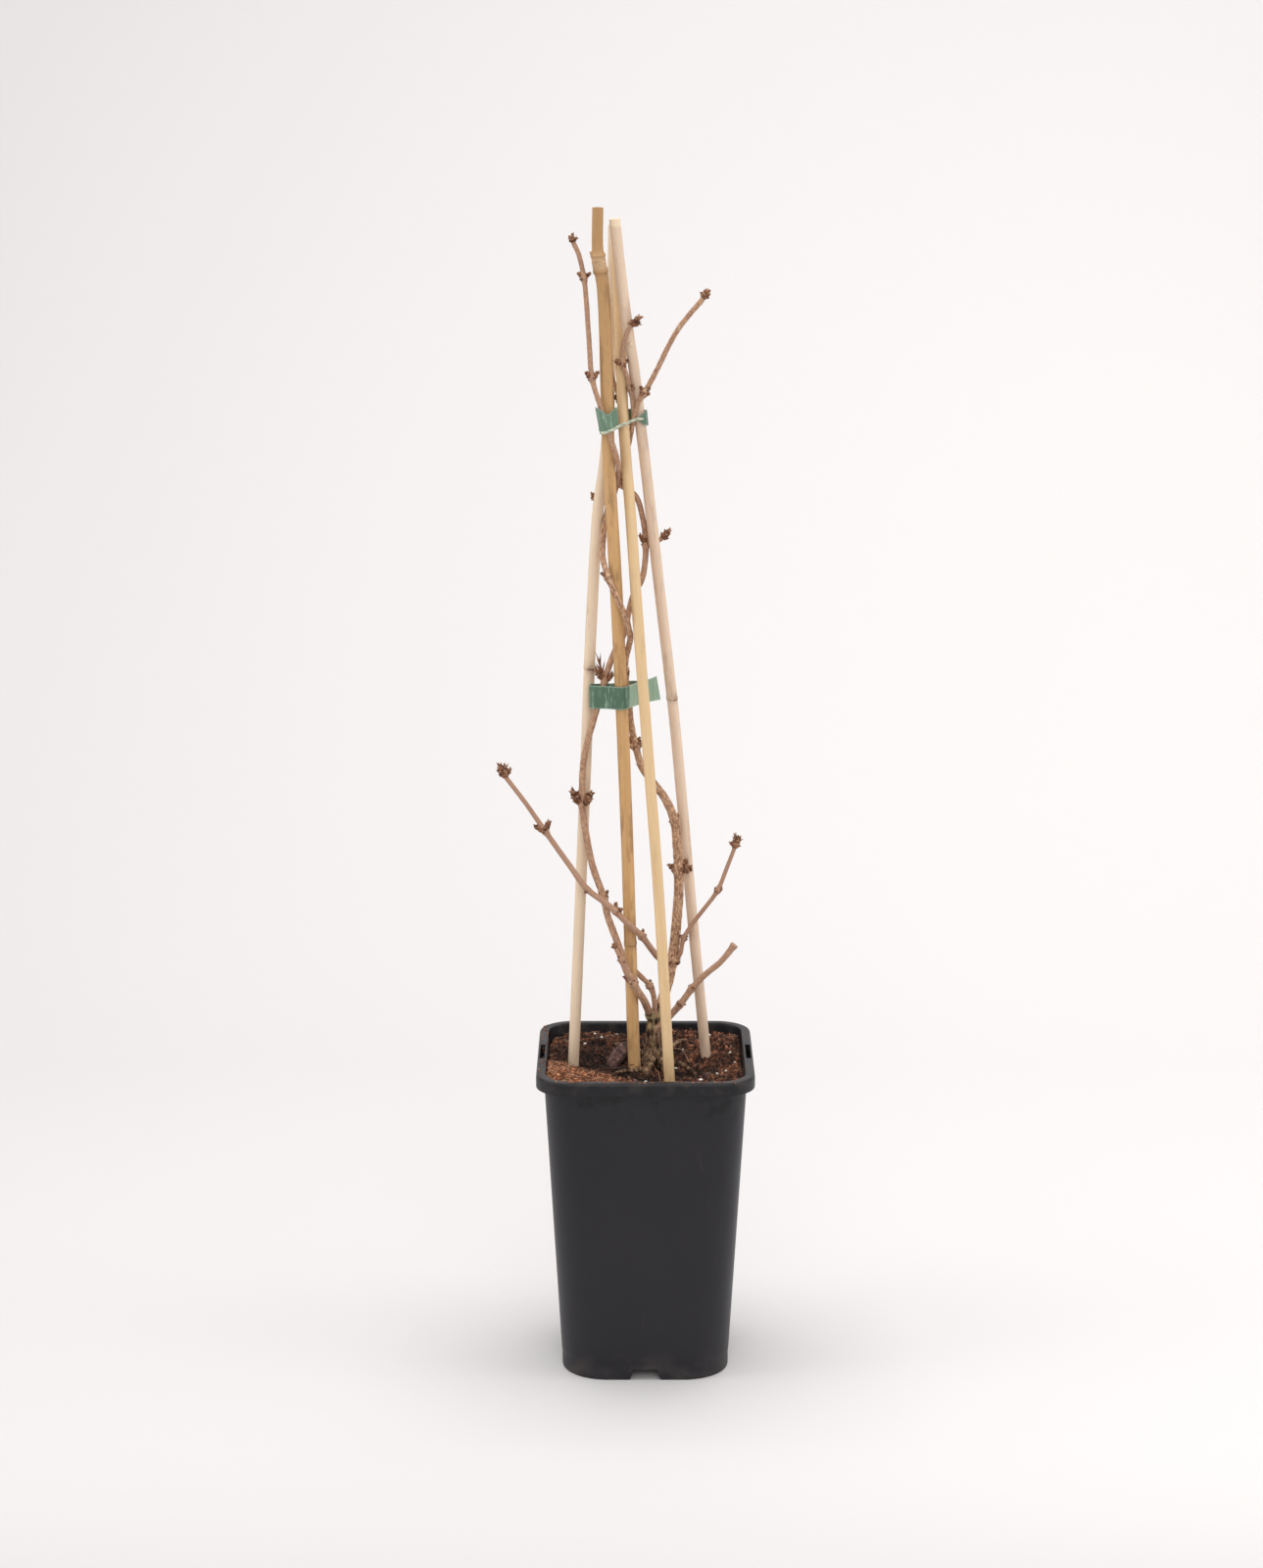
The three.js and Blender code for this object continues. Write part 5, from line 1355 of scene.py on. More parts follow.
def build_scatter_tree():
    """Scatters small shapes over a surface, denser or thinner where it is loose."""
    tree, nodes, given = new_tree("Scatter over soil", {
        "Shapes": "Collection", "Density": "Float", "Loose share": "Float", "Smallest": "Float",
        "Largest": "Float", "Tilt": "Float", "Seed": "Int", "Material": "Material",
    })
    open_ground = read_stored(nodes, "open")
    loose = read_stored(nodes, "loose")
    share = 1 + (given.output("Loose share") - 1) * loose
    points = nodes.add("GeometryNodeDistributePointsOnFaces", {"distribute_method": "RANDOM"}, {
        "Mesh": given.output("Geometry"), "Density": given.output("Density") * open_ground * share,
        "Seed": given.output("Seed"),
    })
    tilt = given.output("Tilt")
    low = nodes.add("ShaderNodeCombineXYZ", {}, {0: tilt * -1, 1: tilt * -1, 2: 0.0})
    high = nodes.add("ShaderNodeCombineXYZ", {}, {0: tilt, 1: tilt, 2: math.tau})
    turn = nodes.add("FunctionNodeRandomValue", {"data_type": "FLOAT_VECTOR"},
                     {"Min": low, "Max": high, "Seed": 3})
    size = chance_value(nodes, given.output("Smallest"), given.output("Largest"), 5)
    copies = set_shapes(nodes, given, points, turn, size)
    tint = chance_value(nodes, 0.0, 1.0, 9)
    copies = store(nodes, copies, "tint", tint, domain="INSTANCE")
    end_tree(nodes, copies, given.output("Material"))
    return tree


def rounded_square(half, corner, height, corner_steps=12):
    """A ring of points, counterclockwise, around a square with rounded corners. Millimetres in."""
    points = []
    for quarter in range(4):
        turn = Matrix.Rotation(quarter * math.pi / 2, 3, "Z")
        shares = (-0.75, -0.4, 0, 0.4, 0.75)
        side = [Vector((half, share * (half - corner), height)) for share in shares]
        bend = []
        for step in range(corner_steps + 1):
            angle = math.pi / 2 * step / corner_steps
            reach = Vector((math.cos(angle), math.sin(angle), 0)) * corner
            bend.append(Vector((half - corner, half - corner, height)) + reach)
        points += [turn @ point * MM for point in side + bend]
    return points


def pot_wall(height, inset, corner_steps=12):
    """A ring on the pot's wall, at a height and an inset from its outside."""
    share = (height - POT_STEP) / (POT_HEIGHT - LIP_HEIGHT - POT_STEP)
    half = (POT_WALL_FOOT + (POT_WALL_TOP - POT_WALL_FOOT) * share) / 2
    corner = POT_FOOT_CORNER + (POT_WALL_CORNER - POT_FOOT_CORNER) * height / POT_HEIGHT
    return rounded_square(half - inset, corner - inset, height, corner_steps)


def loft(name, rings):
    """A closed mesh through rings of the same number of points, capped at both ends."""
    count, total = len(rings[0]), len(rings) * len(rings[0])
    ends = [tuple(reversed(range(count))), tuple(range(total - count, total))]
    points = [point for ring in rings for point in ring]
    return mesh_from(name, points, ends[:1] + tube_faces(len(rings), count) + ends[1:])


def block(body, corners_low, corners_high):
    """Adds a closed block between two rings of corners to a bmesh. Millimetres in."""
    low = [body.verts.new(Vector(corner) * MM) for corner in corners_low]
    high = [body.verts.new(Vector(corner) * MM) for corner in corners_high]
    body.faces.new(list(reversed(low)))
    body.faces.new(high)
    for step in range(len(low)):
        after = (step + 1) % len(low)
        body.faces.new((low[step], low[after], high[after], high[step]))


def rectangle(left, right, front, back, height):
    corners = ((left, front), (right, front), (right, back), (left, back))
    return [(x, y, height) for x, y in corners]


def lip_block(body, side, wide, front, back, low, high):
    """Adds a block on the line of the lip's slots, left or right. Heights are from the pot's top."""
    middle = side * (POT_RIM / 2 - LIP_SLOT["in_from_rim"])
    block(body, *(
        rectangle(middle - wide, middle + wide, front, back, POT_HEIGHT + end) for end in (low, high)))


def circle_corners(x, y, z, radius, sides):
    turns = [math.tau * step / sides for step in range(sides)]
    return [(x + radius * math.cos(turn), y + radius * math.sin(turn), z) for turn in turns]


def pot_cutters():
    """The notches of the foot, the drain holes and the slots of the lip."""
    body = bmesh.new()
    half = POT_FOOT / 2
    narrow, top = NOTCH["top"] / 2, NOTCH["height"]
    below = NOTCH["width"] / 2 + (NOTCH["width"] - NOTCH["top"]) / 2 / top
    for quarter in range(4):
        turn = Matrix.Rotation(quarter * math.pi / 2, 3, "Z")
        low = rectangle(half - 8, half + 2, -below, below, -1)
        high = rectangle(half - 8, half + 2, -narrow, narrow, top)
        block(body, *([turn @ Vector(corner) for corner in ring] for ring in (low, high)))
        angle = math.pi / 4 + quarter * math.pi / 2
        x, y = DRAIN_HOLE["out"] * math.cos(angle), DRAIN_HOLE["out"] * math.sin(angle)
        block(body, *(circle_corners(x, y, z, DRAIN_HOLE["radius"], 32) for z in (4, 10)))
    length = LIP_SLOT["length"] / 2
    for side in (1, -1):
        lip_block(body, side, LIP_SLOT["width"] / 2, -length, length, -LIP_SLOT["depth"], 2)
        lip_block(body, side, 1, -11.4, -9.4, -LIP_SLOT["depth"] - 3, 1 - LIP_SLOT["depth"])
    return mesh_of(body, "cutters")


def boolean(obj, mesh, operation):
    tool = new_object("tool", mesh)
    modifier = obj.modifiers.new("Cut", "BOOLEAN")
    modifier.operation = operation
    modifier.solver = "EXACT"
    modifier.object = tool
    bake(obj)
    remove(tool)


def build_pot(settings):
    foot = POT_FOOT / 2
    rings = [
        rounded_square(foot - inset, POT_FOOT_CORNER - inset, height) for inset, height in FOOT_PROFILE
    ]
    rings.append(pot_wall(POT_STEP, 0.1))
    rings += [pot_wall(height, 0) for height in WALL_HEIGHTS]
    rings += [
        rounded_square(POT_RIM / 2 - inset, POT_RIM_CORNER - inset, POT_HEIGHT - down)
        for inset, down in LIP_PROFILE
    ]
    rings += [pot_wall(height, inset) for height, inset in INSIDE_PROFILE]
    rings.append(rounded_square(foot - 2.6, POT_FOOT_CORNER - 2.6, FLOOR_UNDERSIDE + FLOOR_THICKNESS))
    pot = new_object("pot_moulded", loft("pot_moulded", rings))
    # A pad in the middle of the floor, and plastic round the pockets under the slots
    pad = bmesh.new()
    block(pad, *(circle_corners(0, 0, z, PAD_RADIUS, 48) for z in (0, 7.25)))
    wide, length = LIP_SLOT["width"] / 2 + 0.4, LIP_SLOT["length"] / 2 + 0.9
    for side in (1, -1):
        lip_block(pad, side, wide, -length, length, -LIP_SLOT["depth"] - 0.6, -1)
    boolean(pot, mesh_of(pad, "pad"), "UNION")
    boolean(pot, pot_cutters(), "DIFFERENCE")
    smooth(pot.data, 28)
    pot.data.materials.clear()
    pot.data.materials.append(new_material("Black moulded plastic", 0.33, paint_pot, settings.plastic))
    dress(pot, "pot_plastic", "pot")


def hash_noise(x, y, seed):
    return noise.noise(Vector((x + seed * 17.3, y - seed * 9.1, seed * 5.3)))


def heap_reach(x, y):
    """How far a place lies past the edge of the heap, in millimetres."""
    facing = math.radians(HEAP_EDGE["facing"])
    return (x - HEAP_EDGE["x"]) * math.cos(facing) + (y - HEAP_EDGE["y"]) * math.sin(facing)


def ease(value, low, high):
    share = min(max((value - low) / (high - low), 0), 1)
    return share * share * (3 - 2 * share)


def soil_height(x, y):
    """The soil's height at a place, in millimetres, without its fine crumbs."""
    height = SOIL_LEVEL + HEAP_EDGE["height"] * ease(heap_reach(x, y), -5.5, 2.5)
    for middle_x, middle_y, reach, rise in SOIL_FORMS:
        height += rise * math.exp(-((x - middle_x) ** 2 + (y - middle_y) ** 2) / reach ** 2)
    return height + 0.8 * hash_noise(x / 7.5, y / 7.5, 5) + 0.5 * hash_noise(x / 3.7, y / 3.7, 9)


def crumb_height(x, y, loose):
    """The crumbs and holes of the soil, in millimetres: coarse peat, finer on the loose heap."""
    place = Vector((x, y, 0))
    coarse = noise.fractal(place * 0.16, 0.75, 2.1, 3)
    crumbs = noise.fractal(place * 0.45 + Vector((3, 8, 1)), 0.65, 2.1, 4)
    pits = min(noise.noise(place * 0.33 + Vector((9, 4, 2))) + 0.12, 0)
    cells = 0.55 - noise.voronoi(place * 0.55)[0][0]
    peat = 1.5 * coarse + 1.5 * crumbs + 5.0 * pits + 1.3 * cells
    heap = 0.7 * coarse + 1.3 * crumbs + 1.1 * cells
    return peat + (heap - peat) * loose


def soil_ring(ring):
    """A ring of the pot's wall in millimetres, with the points of the soil's edge."""
    return fill_out([point / MM for point in ring], SOIL_EDGE_POINTS)


def hollow_shading(point):
    """How much painted shade darkens the soil at a point, in its hollows."""
    hollow_darkness = 0.0
    for x, y, reach, strength in SHADED_HOLLOWS:
        hollow_darkness += strength * math.exp(-((point.x / MM - x) ** 2 + (point.y / MM - y) ** 2) / reach ** 2)
    return min(hollow_darkness * (1 + 0.8 * noise.noise(point * 160)), 1)


def soil_mesh():
    """A closed body of soil with its crumbs and holes, and the numbers that its looks read."""
    count = SOIL_EDGE_POINTS
    edge = soil_ring(pot_wall(SOIL_LEVEL, 1.75, corner_steps=20))
    points, loose, top, rise = [], [], [], []
    for ring in range(1, SOIL_RINGS + 1):
        share = (ring / SOIL_RINGS) ** 0.85
        for point in edge:
            x, y = point.x * share, point.y * share
            heaped = ease(heap_reach(x, y), -3, 5)
            crumb = crumb_height(x, y, heaped)
            height = soil_height(x, y) + crumb * (0.4 + 0.6 * ease(share, 1.0, 0.965))
            points.append(Vector((x, y, min(height, SOIL_HIGHEST))) * MM)
            # Rise: the crumb relief's height, which the soil's paint turns into painted light on raised
            # crumbs and painted shade in pits.
            rise.append(min(max(0.5 + crumb * 0.24, 0), 1))
            loose.append(heaped)
            top.append(1.0 if share < 0.985 else 0.0)
    middle = len(points)
    points.append(Vector((0, 0, soil_height(0, 0))) * MM)
    loose.append(0.0)
    top.append(1.0)
    rise.append(0.5)
    after = [*range(1, count), 0]
    faces = [(middle, step, after[step]) for step in range(count)]
    for low in range(0, middle - count, count):
        high = low + count
        faces += [
            (low + step, high + step, high + after[step], low + after[step]) for step in range(count)
        ]
    start = middle - count
    walls = [pot_wall(height, 1.5) for height in (150, 80, 11.3)]
    for ring in (*walls, rounded_square(*SOIL_UNDERSIDE)):
        first = len(points)
        points += [point * MM for point in soil_ring(ring)]
        faces += [
            (start + step, first + step, first + after[step], start + after[step])
            for step in range(count)
        ]
        start = first
    faces.append(tuple(reversed(range(start, start + count))))
    for numbers, value in ((loose, 0.0), (top, 0.0), (rise, 0.5)):
        numbers += [value] * (len(points) - len(numbers))
    # Painted shade in the hollows, stored at the soil's points.
    damp = [hollow_shading(point) for point in points]
    tint = [0.4 + 0.25 * noise.noise(point * 900) + 0.2 * noise.noise(point * 120) for point in points]
    values = {"loose": loose, "open": top, "rise": rise, "damp": damp, "tint": tint}
    return mesh_from("soil_bed", points, faces, values)


def build_soil(settings):
    bed = new_object("soil_bed", smooth(soil_mesh()))
    soil = new_material("Peat and bark soil", 0.25, paint_soil, settings.husk)
    fibre = new_material("Soil fibres", 0.3, paint_fibre)
    bed.data.materials.append(soil)
    dress(bed, "potting_soil", "soil")

    tree = build_scatter_tree()
    crumbs = shape_library("crumb_shape", [
        lump(seed, 1, 0.95, stretch) for seed, stretch in
        ((1, (1, 0.8, 0.6)), (2, (1.2, 0.7, 0.5)), (3, (1.3, 0.5, 0.45)), (4, (0.8, 0.9, 0.6)))
    ])
    fibres = shape_library("fibre_shape", [
        strand(bends, radius) for bends, radius in
        (((0.16, 0.1), 0.024), ((-0.24, 0.2), 0.016), ((0.08, -0.1), 0.04), ((0.34, 0.12), 0.015))
    ])
    scatters = (
        ("soil_crumbs", crumbs, soil, settings.crumbs, 1.3, 0.5, 2.5, math.pi, 4),
        ("soil_fibres", fibres, fibre, settings.fibres, 1.7, 1.8, 8.5, 0.42, 11),
    )
    for name, shapes, material, amount, loose_share, smallest, largest, tilt, seed in scatters:
        piece = new_object(name, bed.data.copy())
        piece.data.materials.clear()
        run_nodes(piece, tree, {
            "Shapes": shapes, "Density": amount / SOIL_PLAN_AREA, "Loose share": loose_share,
            "Smallest": smallest * MM, "Largest": largest * MM, "Tilt": tilt, "Seed": seed,
            "Material": material,
        })
        dress(piece, "potting_soil")
        clear_library(shapes)
    build_lip_crumbs(soil)
    build_chips(new_material("Bark chips", 0.25, paint_chip))
    build_perlite(new_material("Perlite", 0.2, paint_perlite))
    build_rootlets(new_material("Rootlets", 0.3, paint_fibre))


def fill_out(ring, count):
    """The same closed ring with a given number of points, evenly spaced from where it starts."""
    lengths = [0.0]
    for start, end in zip(ring, ring[1:] + ring[:1]):
        lengths.append(lengths[-1] + (end - start).length)
    result, place = [], 0
    for step in range(count):
        distance = lengths[-1] * step / count
        while lengths[place + 1] < distance:
            place += 1
        share = (distance - lengths[place]) / (lengths[place + 1] - lengths[place])
        result.append(ring[place].lerp(ring[(place + 1) % len(ring)], share))
    return result


def add_lump(body, grain, place, size, turn):
    """Adds a lump to a bmesh at a place, with its size, in millimetres, turned in plan."""
    first = len(body.verts)
    body.from_mesh(grain)
    bpy.data.meshes.remove(grain)
    body.verts.ensure_lookup_table()
    move = Matrix.Translation(Vector(place) * MM) @ Matrix.Scale(size * MM, 4)
    bmesh.ops.transform(body, matrix=move @ Matrix.Rotation(turn, 4, "Z"), verts=body.verts[first:])


def lay_down(mesh, material, sharp_above=None):
    """Makes a finished piece of what lies on the soil."""
    smooth(mesh, sharp_above).materials.append(material)
    dress(new_object(mesh.name, mesh), "potting_soil")


def build_lip_crumbs(material):
    """Crumbs of soil that lie on the top of the lip, most of them in front and at the left."""
    chance = random.Random(77)
    body = bmesh.new()
    for number in range(150):
        run = chance.uniform(-56, 56)
        inset = chance.uniform(1.6, 5.4)
        x, y = (run, inset - POT_RIM / 2) if chance.random() < 0.62 else (inset - POT_RIM / 2, run)
        size = chance.uniform(0.3, 1.1) ** 1.4
        grain = lump(number + 60, 1, 0.9, (1.2, 0.9, 0.6))
        add_lump(body, grain, (x, y, POT_HEIGHT + 0.2 * size), size, number * 1.3)
    mesh = mesh_of(body, "lip_crumbs")
    # A rise of 0.6 paints these crumbs lighter, as lit raised crumbs.
    for key, value in (("tint", 0.7), ("loose", 0.8), ("rise", 0.6)):
        keep_values(mesh, key, [value] * len(mesh.vertices))
    lay_down(mesh, material)


def build_chips(material):
    """Leaning splinters of bark with broken edges."""
    body = bmesh.new()
    for index, (x, y, length, width, turn, slope) in enumerate(BARK_CHIPS):
        part = bmesh.new()
        bmesh.ops.create_grid(part, x_segments=26, y_segments=12, size=0.5)
        leaning = Matrix.Rotation(math.radians(-slope), 4, "Y")
        turned = Matrix.Rotation(math.radians(turn), 4, "Z") @ leaning
        sizes = Matrix.Diagonal((length * MM, width * MM, 1, 1))
        height = soil_height(x, y) + 1.6 + 0.3 * length * math.sin(math.radians(slope))
        base = Matrix.Translation(Vector((x, y, height)) * MM)
        for vert in part.verts:
            run, across = vert.co.x * 2, vert.co.y * 2
            pointed = max(1 - abs(run) ** 2.4, 0.02) ** 0.55
            torn = 1 + 0.16 * noise.noise(Vector((run * 5, across * 1.5, index * 4.1)))
            grooves = noise.fractal(Vector((run * 1.6, across * 7, index)), 0.8, 2, 3)
            vert.co = sizes @ Vector((vert.co.x, vert.co.y * pointed * torn, 0))
            vert.co.z = (grooves * 0.4 + 2.0 * (1 - across ** 2) * pointed) * MM
        bmesh.ops.solidify(part, geom=part.faces[:], thickness=1.8 * MM)
        bmesh.ops.transform(part, matrix=base @ turned, verts=part.verts)
        bmesh.ops.recalc_face_normals(part, faces=part.faces)
        mesh = mesh_of(part, "chip")
        body.from_mesh(mesh)
        bpy.data.meshes.remove(mesh)
    lay_down(mesh_of(body, "bark_chips"), material, 50)


def build_perlite(material):
    body = bmesh.new()
    for index, (x, y, width) in enumerate(PERLITE):
        grain = lump(index + 11, 3, 0.6, (1.1, 0.7, 0.6))
        add_lump(body, grain, (x, y, soil_height(x, y) + 0.9), width, index * 1.7)
    lay_down(mesh_of(body, "perlite"), material)


def build_rootlets(material):
    lines = Lines(spacing=1.2 * MM, sides=8, relief_scale=900.0)
    chance = random.Random(21)
    for points in ROOTLETS:
        ends = [(x, y, z - 2) for x, y, z in (points[0], points[-1])]
        lines.add(
            Route([ends[0], *points[1:-1], ends[1]]),
            lambda far: (0.22 + 0.07 * math.sin(far * 400)) * MM,
            rough=0.06 * MM, loose=0.0, tint=chance.uniform(0.45, 1))
    dress(sweep("rootlets", lines, Shapes(), material), "potting_soil")


def sweep(name, lines, shapes, material):
    """The round skin of lines with the small shapes beside them, as a plain mesh."""
    library = stem_shapes()
    piece = new_object(name, lines.mesh(name))
    places = new_object(f"{name}_places", shapes.mesh(f"{name}_places"))
    run_nodes(piece, bpy.data.node_groups.get(SWEEP_TREE) or build_sweep_tree(), {
        "Sides": lines.sides, "Relief scale": lines.relief_scale, "Shape places": places,
        "Shapes": library, "Material": material,
    })
    remove(places)
    clear_library(library)
    return piece


def cane_radius(route, spec):
    """The radius of a cane by distance: its rings stand out, with a groove under each."""
    highest = max([ring for ring, _ in spec["rings"]], default=0)

    def radius(distance):
        height = route.at(distance)[0].z / MM
        value = spec.get("top_radius", spec["radius"]) if height > highest else spec["radius"]
        if "joint" in spec:
            value += swelling(height, spec["joint"], 0.4, 6)
        for ring, stand in spec["rings"]:
            value += swelling(height, ring, stand, 1.3) - swelling(height, ring - 2.2, 0.16, 0.9)
        return value * MM

    return radius


def cut_ends(mesh, rim, sink):
    """Gives the flat ends of a cane a rim and a sunken middle, in the second material."""
    body = bmesh.new()
    body.from_mesh(mesh)
    ends = [face for face in body.faces if len(face.verts) > 12]
    for end in ends:
        for thickness, depth in ((0.2 * MM, 0.0), (rim, 0.0), (0.3 * MM, -sink), (0.3 * MM, 0.0)):
            bmesh.ops.inset_region(
                body, faces=[end], thickness=thickness, depth=depth, use_even_offset=True)
            for edge in end.edges:
                for face in edge.link_faces:
                    face.material_index = 1
        end.material_index = 1
    body.to_mesh(mesh)
    body.free()


# Bamboo: light, dark, streak and stain colours, dark rings, patchiness and what is special
CANE_PAINTS = {
    "cane_left": (
        ((0.77, 0.62, 0.46), (0.63, 0.48, 0.34), (0.84, 0.71, 0.55), (0.38, 0.24, 0.155)),
        [428.8], 0.3, {}),
    "cane_middle": (
        (GOLDEN_BAMBOO, (0.46, 0.26, 0.105), (0.78, 0.56, 0.29), (0.21, 0.105, 0.042)),
        [661, 262], 0.55, {"darker_above": 0.60, "joint": 666}),
    "cane_front": (
        (PALE_BAMBOO, (0.58, 0.39, 0.20), (0.84, 0.65, 0.42), (0.36, 0.20, 0.085)), [], 0.22, {}),
    # The right cane has a painted highlight at its top.
    "cane_right": (
        ((0.75, 0.58, 0.44), (0.61, 0.445, 0.325), (0.82, 0.67, 0.52), (0.34, 0.20, 0.13)),
        [408.5], 0.4, {"highlight_above": 0.6862}),
}
# Buds and scars on the canes: height, turn from the left side, and size
CANE_KNOBS = {
    "cane_middle": [(670.5, 0, (3.4, 3.0, 2.4)), (662, 165, (2.6, 2.4, 1.6))],
    "cane_right": [(618, 95, (3.2, 3.2, 2.2))],
}


def build_canes(settings):
    end = new_material("Cut bamboo", 0.3, paint_cut_end)
    for index, (name, spec) in enumerate(CANES.items()):
        route = Route(spec["route"])
        lines, shapes = Lines(spacing=1.0 * MM, sides=36, relief_scale=260.0), Shapes(index)
        lines.add(route, cane_radius(route, spec), rough=0.09 * MM)
        for height, turn, size in CANE_KNOBS.get(name, []):
            centre, tangent, side = route.at(route.height_mark(height * MM))
            out = Matrix.Rotation(math.radians(turn), 3, tangent) @ Vector((-1, 0, 0))
            out = (out - tangent * out.dot(tangent)).normalized()
            grow = (out * 0.8 + tangent * 0.5).normalized()
            root = centre + out * spec["radius"] * 0.72 * MM
            shapes.add("core", root, tangent, grow, [part * MM for part in size])
        colours, rings, patchy, special = CANE_PAINTS[name]
        kind, chosen, usual = ("pale", settings.pale, PALE_BAMBOO)
        if name == "cane_middle":
            kind, chosen, usual = ("golden", settings.golden, GOLDEN_BAMBOO)
        colours = [toned(colour, chosen, usual) for colour in colours]
        material = new_material(
            f"Bamboo {name}", 0.4, paint_bamboo, *colours, rings, patchy, **special)
        piece = sweep(f"{name}_bamboo", lines, shapes, material)
        piece.data.materials.append(end)
        cut_ends(piece.data, 1.0 * MM, 0.5 * MM)
        smooth(piece.data, 40)
        dress(piece, f"bamboo_{kind}", name)


def build_crown(settings):
    """The woody rootstock: strands merged into one rough form."""
    lines = Lines(spacing=0.8 * MM, sides=24, relief_scale=300.0)
    for spec in CROWN + TRUNK:
        route = Route(spec["route"])
        lines.add(route, lambda far: spread(spec["radii"], far / route.length) * MM, rough=0.4 * MM)
    bark = new_material("Rootstock bark", 0.25, paint_crown, settings.moss)
    crown = sweep("rootstock", lines, Shapes(), bark)
    remesh = crown.modifiers.new("Merge", "REMESH")
    remesh.mode = "VOXEL"
    remesh.voxel_size = 0.48 * MM
    bake(crown)
    mesh = crown.data
    normals = [vert.normal.copy() for vert in mesh.vertices]
    for vert, normal in zip(mesh.vertices, normals):
        place = Vector((vert.co.x * 360, vert.co.y * 360, vert.co.z * 150))
        vert.co += normal * (settings.relief * noise.fractal(place, 0.75, 2.1, 5))
    mesh.update()
    smooth(mesh)
    mesh.materials.clear()
    mesh.materials.append(bark)
    dress(crown, "root_bark", "crown")


def add_stem(lines, shapes, spec, age, cut_end=False):
    """Adds one stem with its joints, buds and old leaf bases. Returns its route and radius."""
    route = Route(spec["route"])
    marks = [route.marks[joint["at"]] for joint in spec["knots"]]

    def radius(distance):
        value = spread(spec["radii"], distance / route.length) * MM
        for joint, mark in zip(spec["knots"], marks):
            value += swelling(distance, mark, joint["swell"] * 1.35 * MM, 2.4 * MM)
        if cut_end:
            return value + swelling(distance, route.length, 0.5 * MM, 2.5 * MM)
        return value * round_end(route.length - distance + 0.0001, value)

    def ages(distance):
        share = distance / route.length
        return max(min(age * (1.05 - 0.45 * share), 1), 0)

    lines.add(route, radius, rough=lambda far: (0.1 + 0.34 * ages(far)) * MM, age=ages)
    for joint, mark in zip(spec["knots"], marks):
        centre = route.at(mark)[0]
        reach = radius(mark)
        if joint["swell"] >= 0.3:
            shapes.add_collar(route, mark, reach, joint["swell"])
        for shape in joint["buds"]:
            shapes.add_bud(shape, centre + heading(shape) * reach * 0.75)
    for shape in spec["tip"]:
        shapes.add_bud(shape, route.at(route.length)[0])
    return route, radius


def build_stems(settings):
    colours = (settings.young_bark, settings.old_bark)
    materials = {
        "stem_bark": new_material("Flaky stem bark", 0.3, paint_bark, *colours),
        "young_bark": new_material("Young smooth bark", 0.4, paint_bark, *colours),
    }
    for index, (name, spec) in enumerate(STEMS.items()):
        lines, shapes = Lines(spacing=0.8 * MM, sides=18, relief_scale=760.0), Shapes(100 + index)
        route, radius = add_stem(lines, shapes, spec, spec["age"], cut_end=not spec["tip"])
        for twig in spec.get("twigs", []):
            add_stem(lines, shapes, twig, spec["age"] * 0.4)
        if name == "vine_right":
            shapes.add_peel(route, radius, settings.peel, 0.01, 0.30)
            shapes.add_peel(route, radius, settings.peel // 3, 0.30, route.length)
        if name == "vine_left":
            shapes.add_peel(route, radius, settings.peel // 3, 0.01, route.length * 0.8)
        piece = sweep(f"{name}_bark", lines, shapes, materials[spec["slot"]])
        dress(piece, spec["slot"], name)


def add_tape(body, layers, rows, closed, doubled, waves):
    """Adds a band of tape between its lower and its upper edge line."""
    low = Route([row[:3] for row in rows], closed)
    high = Route([row[3:] if len(row) == 6 else (*row[:2], row[3]) for row in rows], closed)
    lanes, steps = 12, len(low.line)
    columns = []
    for step in range(steps - 1 if closed else steps):
        start, end = low.line[step], high.line[step]
        tangent = low.tangents[step]
        up = (end - start).normalized()
        outward = tangent.cross(up).normalized()
        far = low.far[step]
        column = []
        for lane in range(lanes + 1):
            share = lane / lanes
            place = start.lerp(end, share)
            wave = noise.noise(Vector((far * 420, share * 1.3, waves)))
            wave *= math.sin(math.pi * (0.15 + 0.7 * share))
            vert = body.verts.new(place + outward * wave * 0.00022)
            vert[layers["along"]] = far
            vert[layers["across"]] = share
            vert[layers["doubled"]] = doubled(place)
            column.append(vert)
        columns.append(column)
    for first, second in zip(columns, columns[1:] + columns[:1] if closed else columns[1:]):
        for lane in range(lanes):
            body.faces.new((first[lane], second[lane], second[lane + 1], first[lane + 1]))


def tape_piece(name, bands, material, thickness):
    """A piece of tape from bands, with its thickness on both sides of their lines."""
    body = bmesh.new()
    layers = {key: body.verts.layers.float.new(key) for key in ("along", "across", "doubled")}
    for number, (rows, closed, doubled) in enumerate(bands):
        add_tape(body, layers, rows, closed, doubled, number * 3.3)
    body.normal_update()
    piece = new_object(name, mesh_of(body, name))
    wall = piece.modifiers.new("Thickness", "SOLIDIFY")
    wall.thickness = thickness
    wall.offset = 0
    bake(piece)
    smooth(piece.data, 60)
    piece.data.materials.append(material)
    return piece


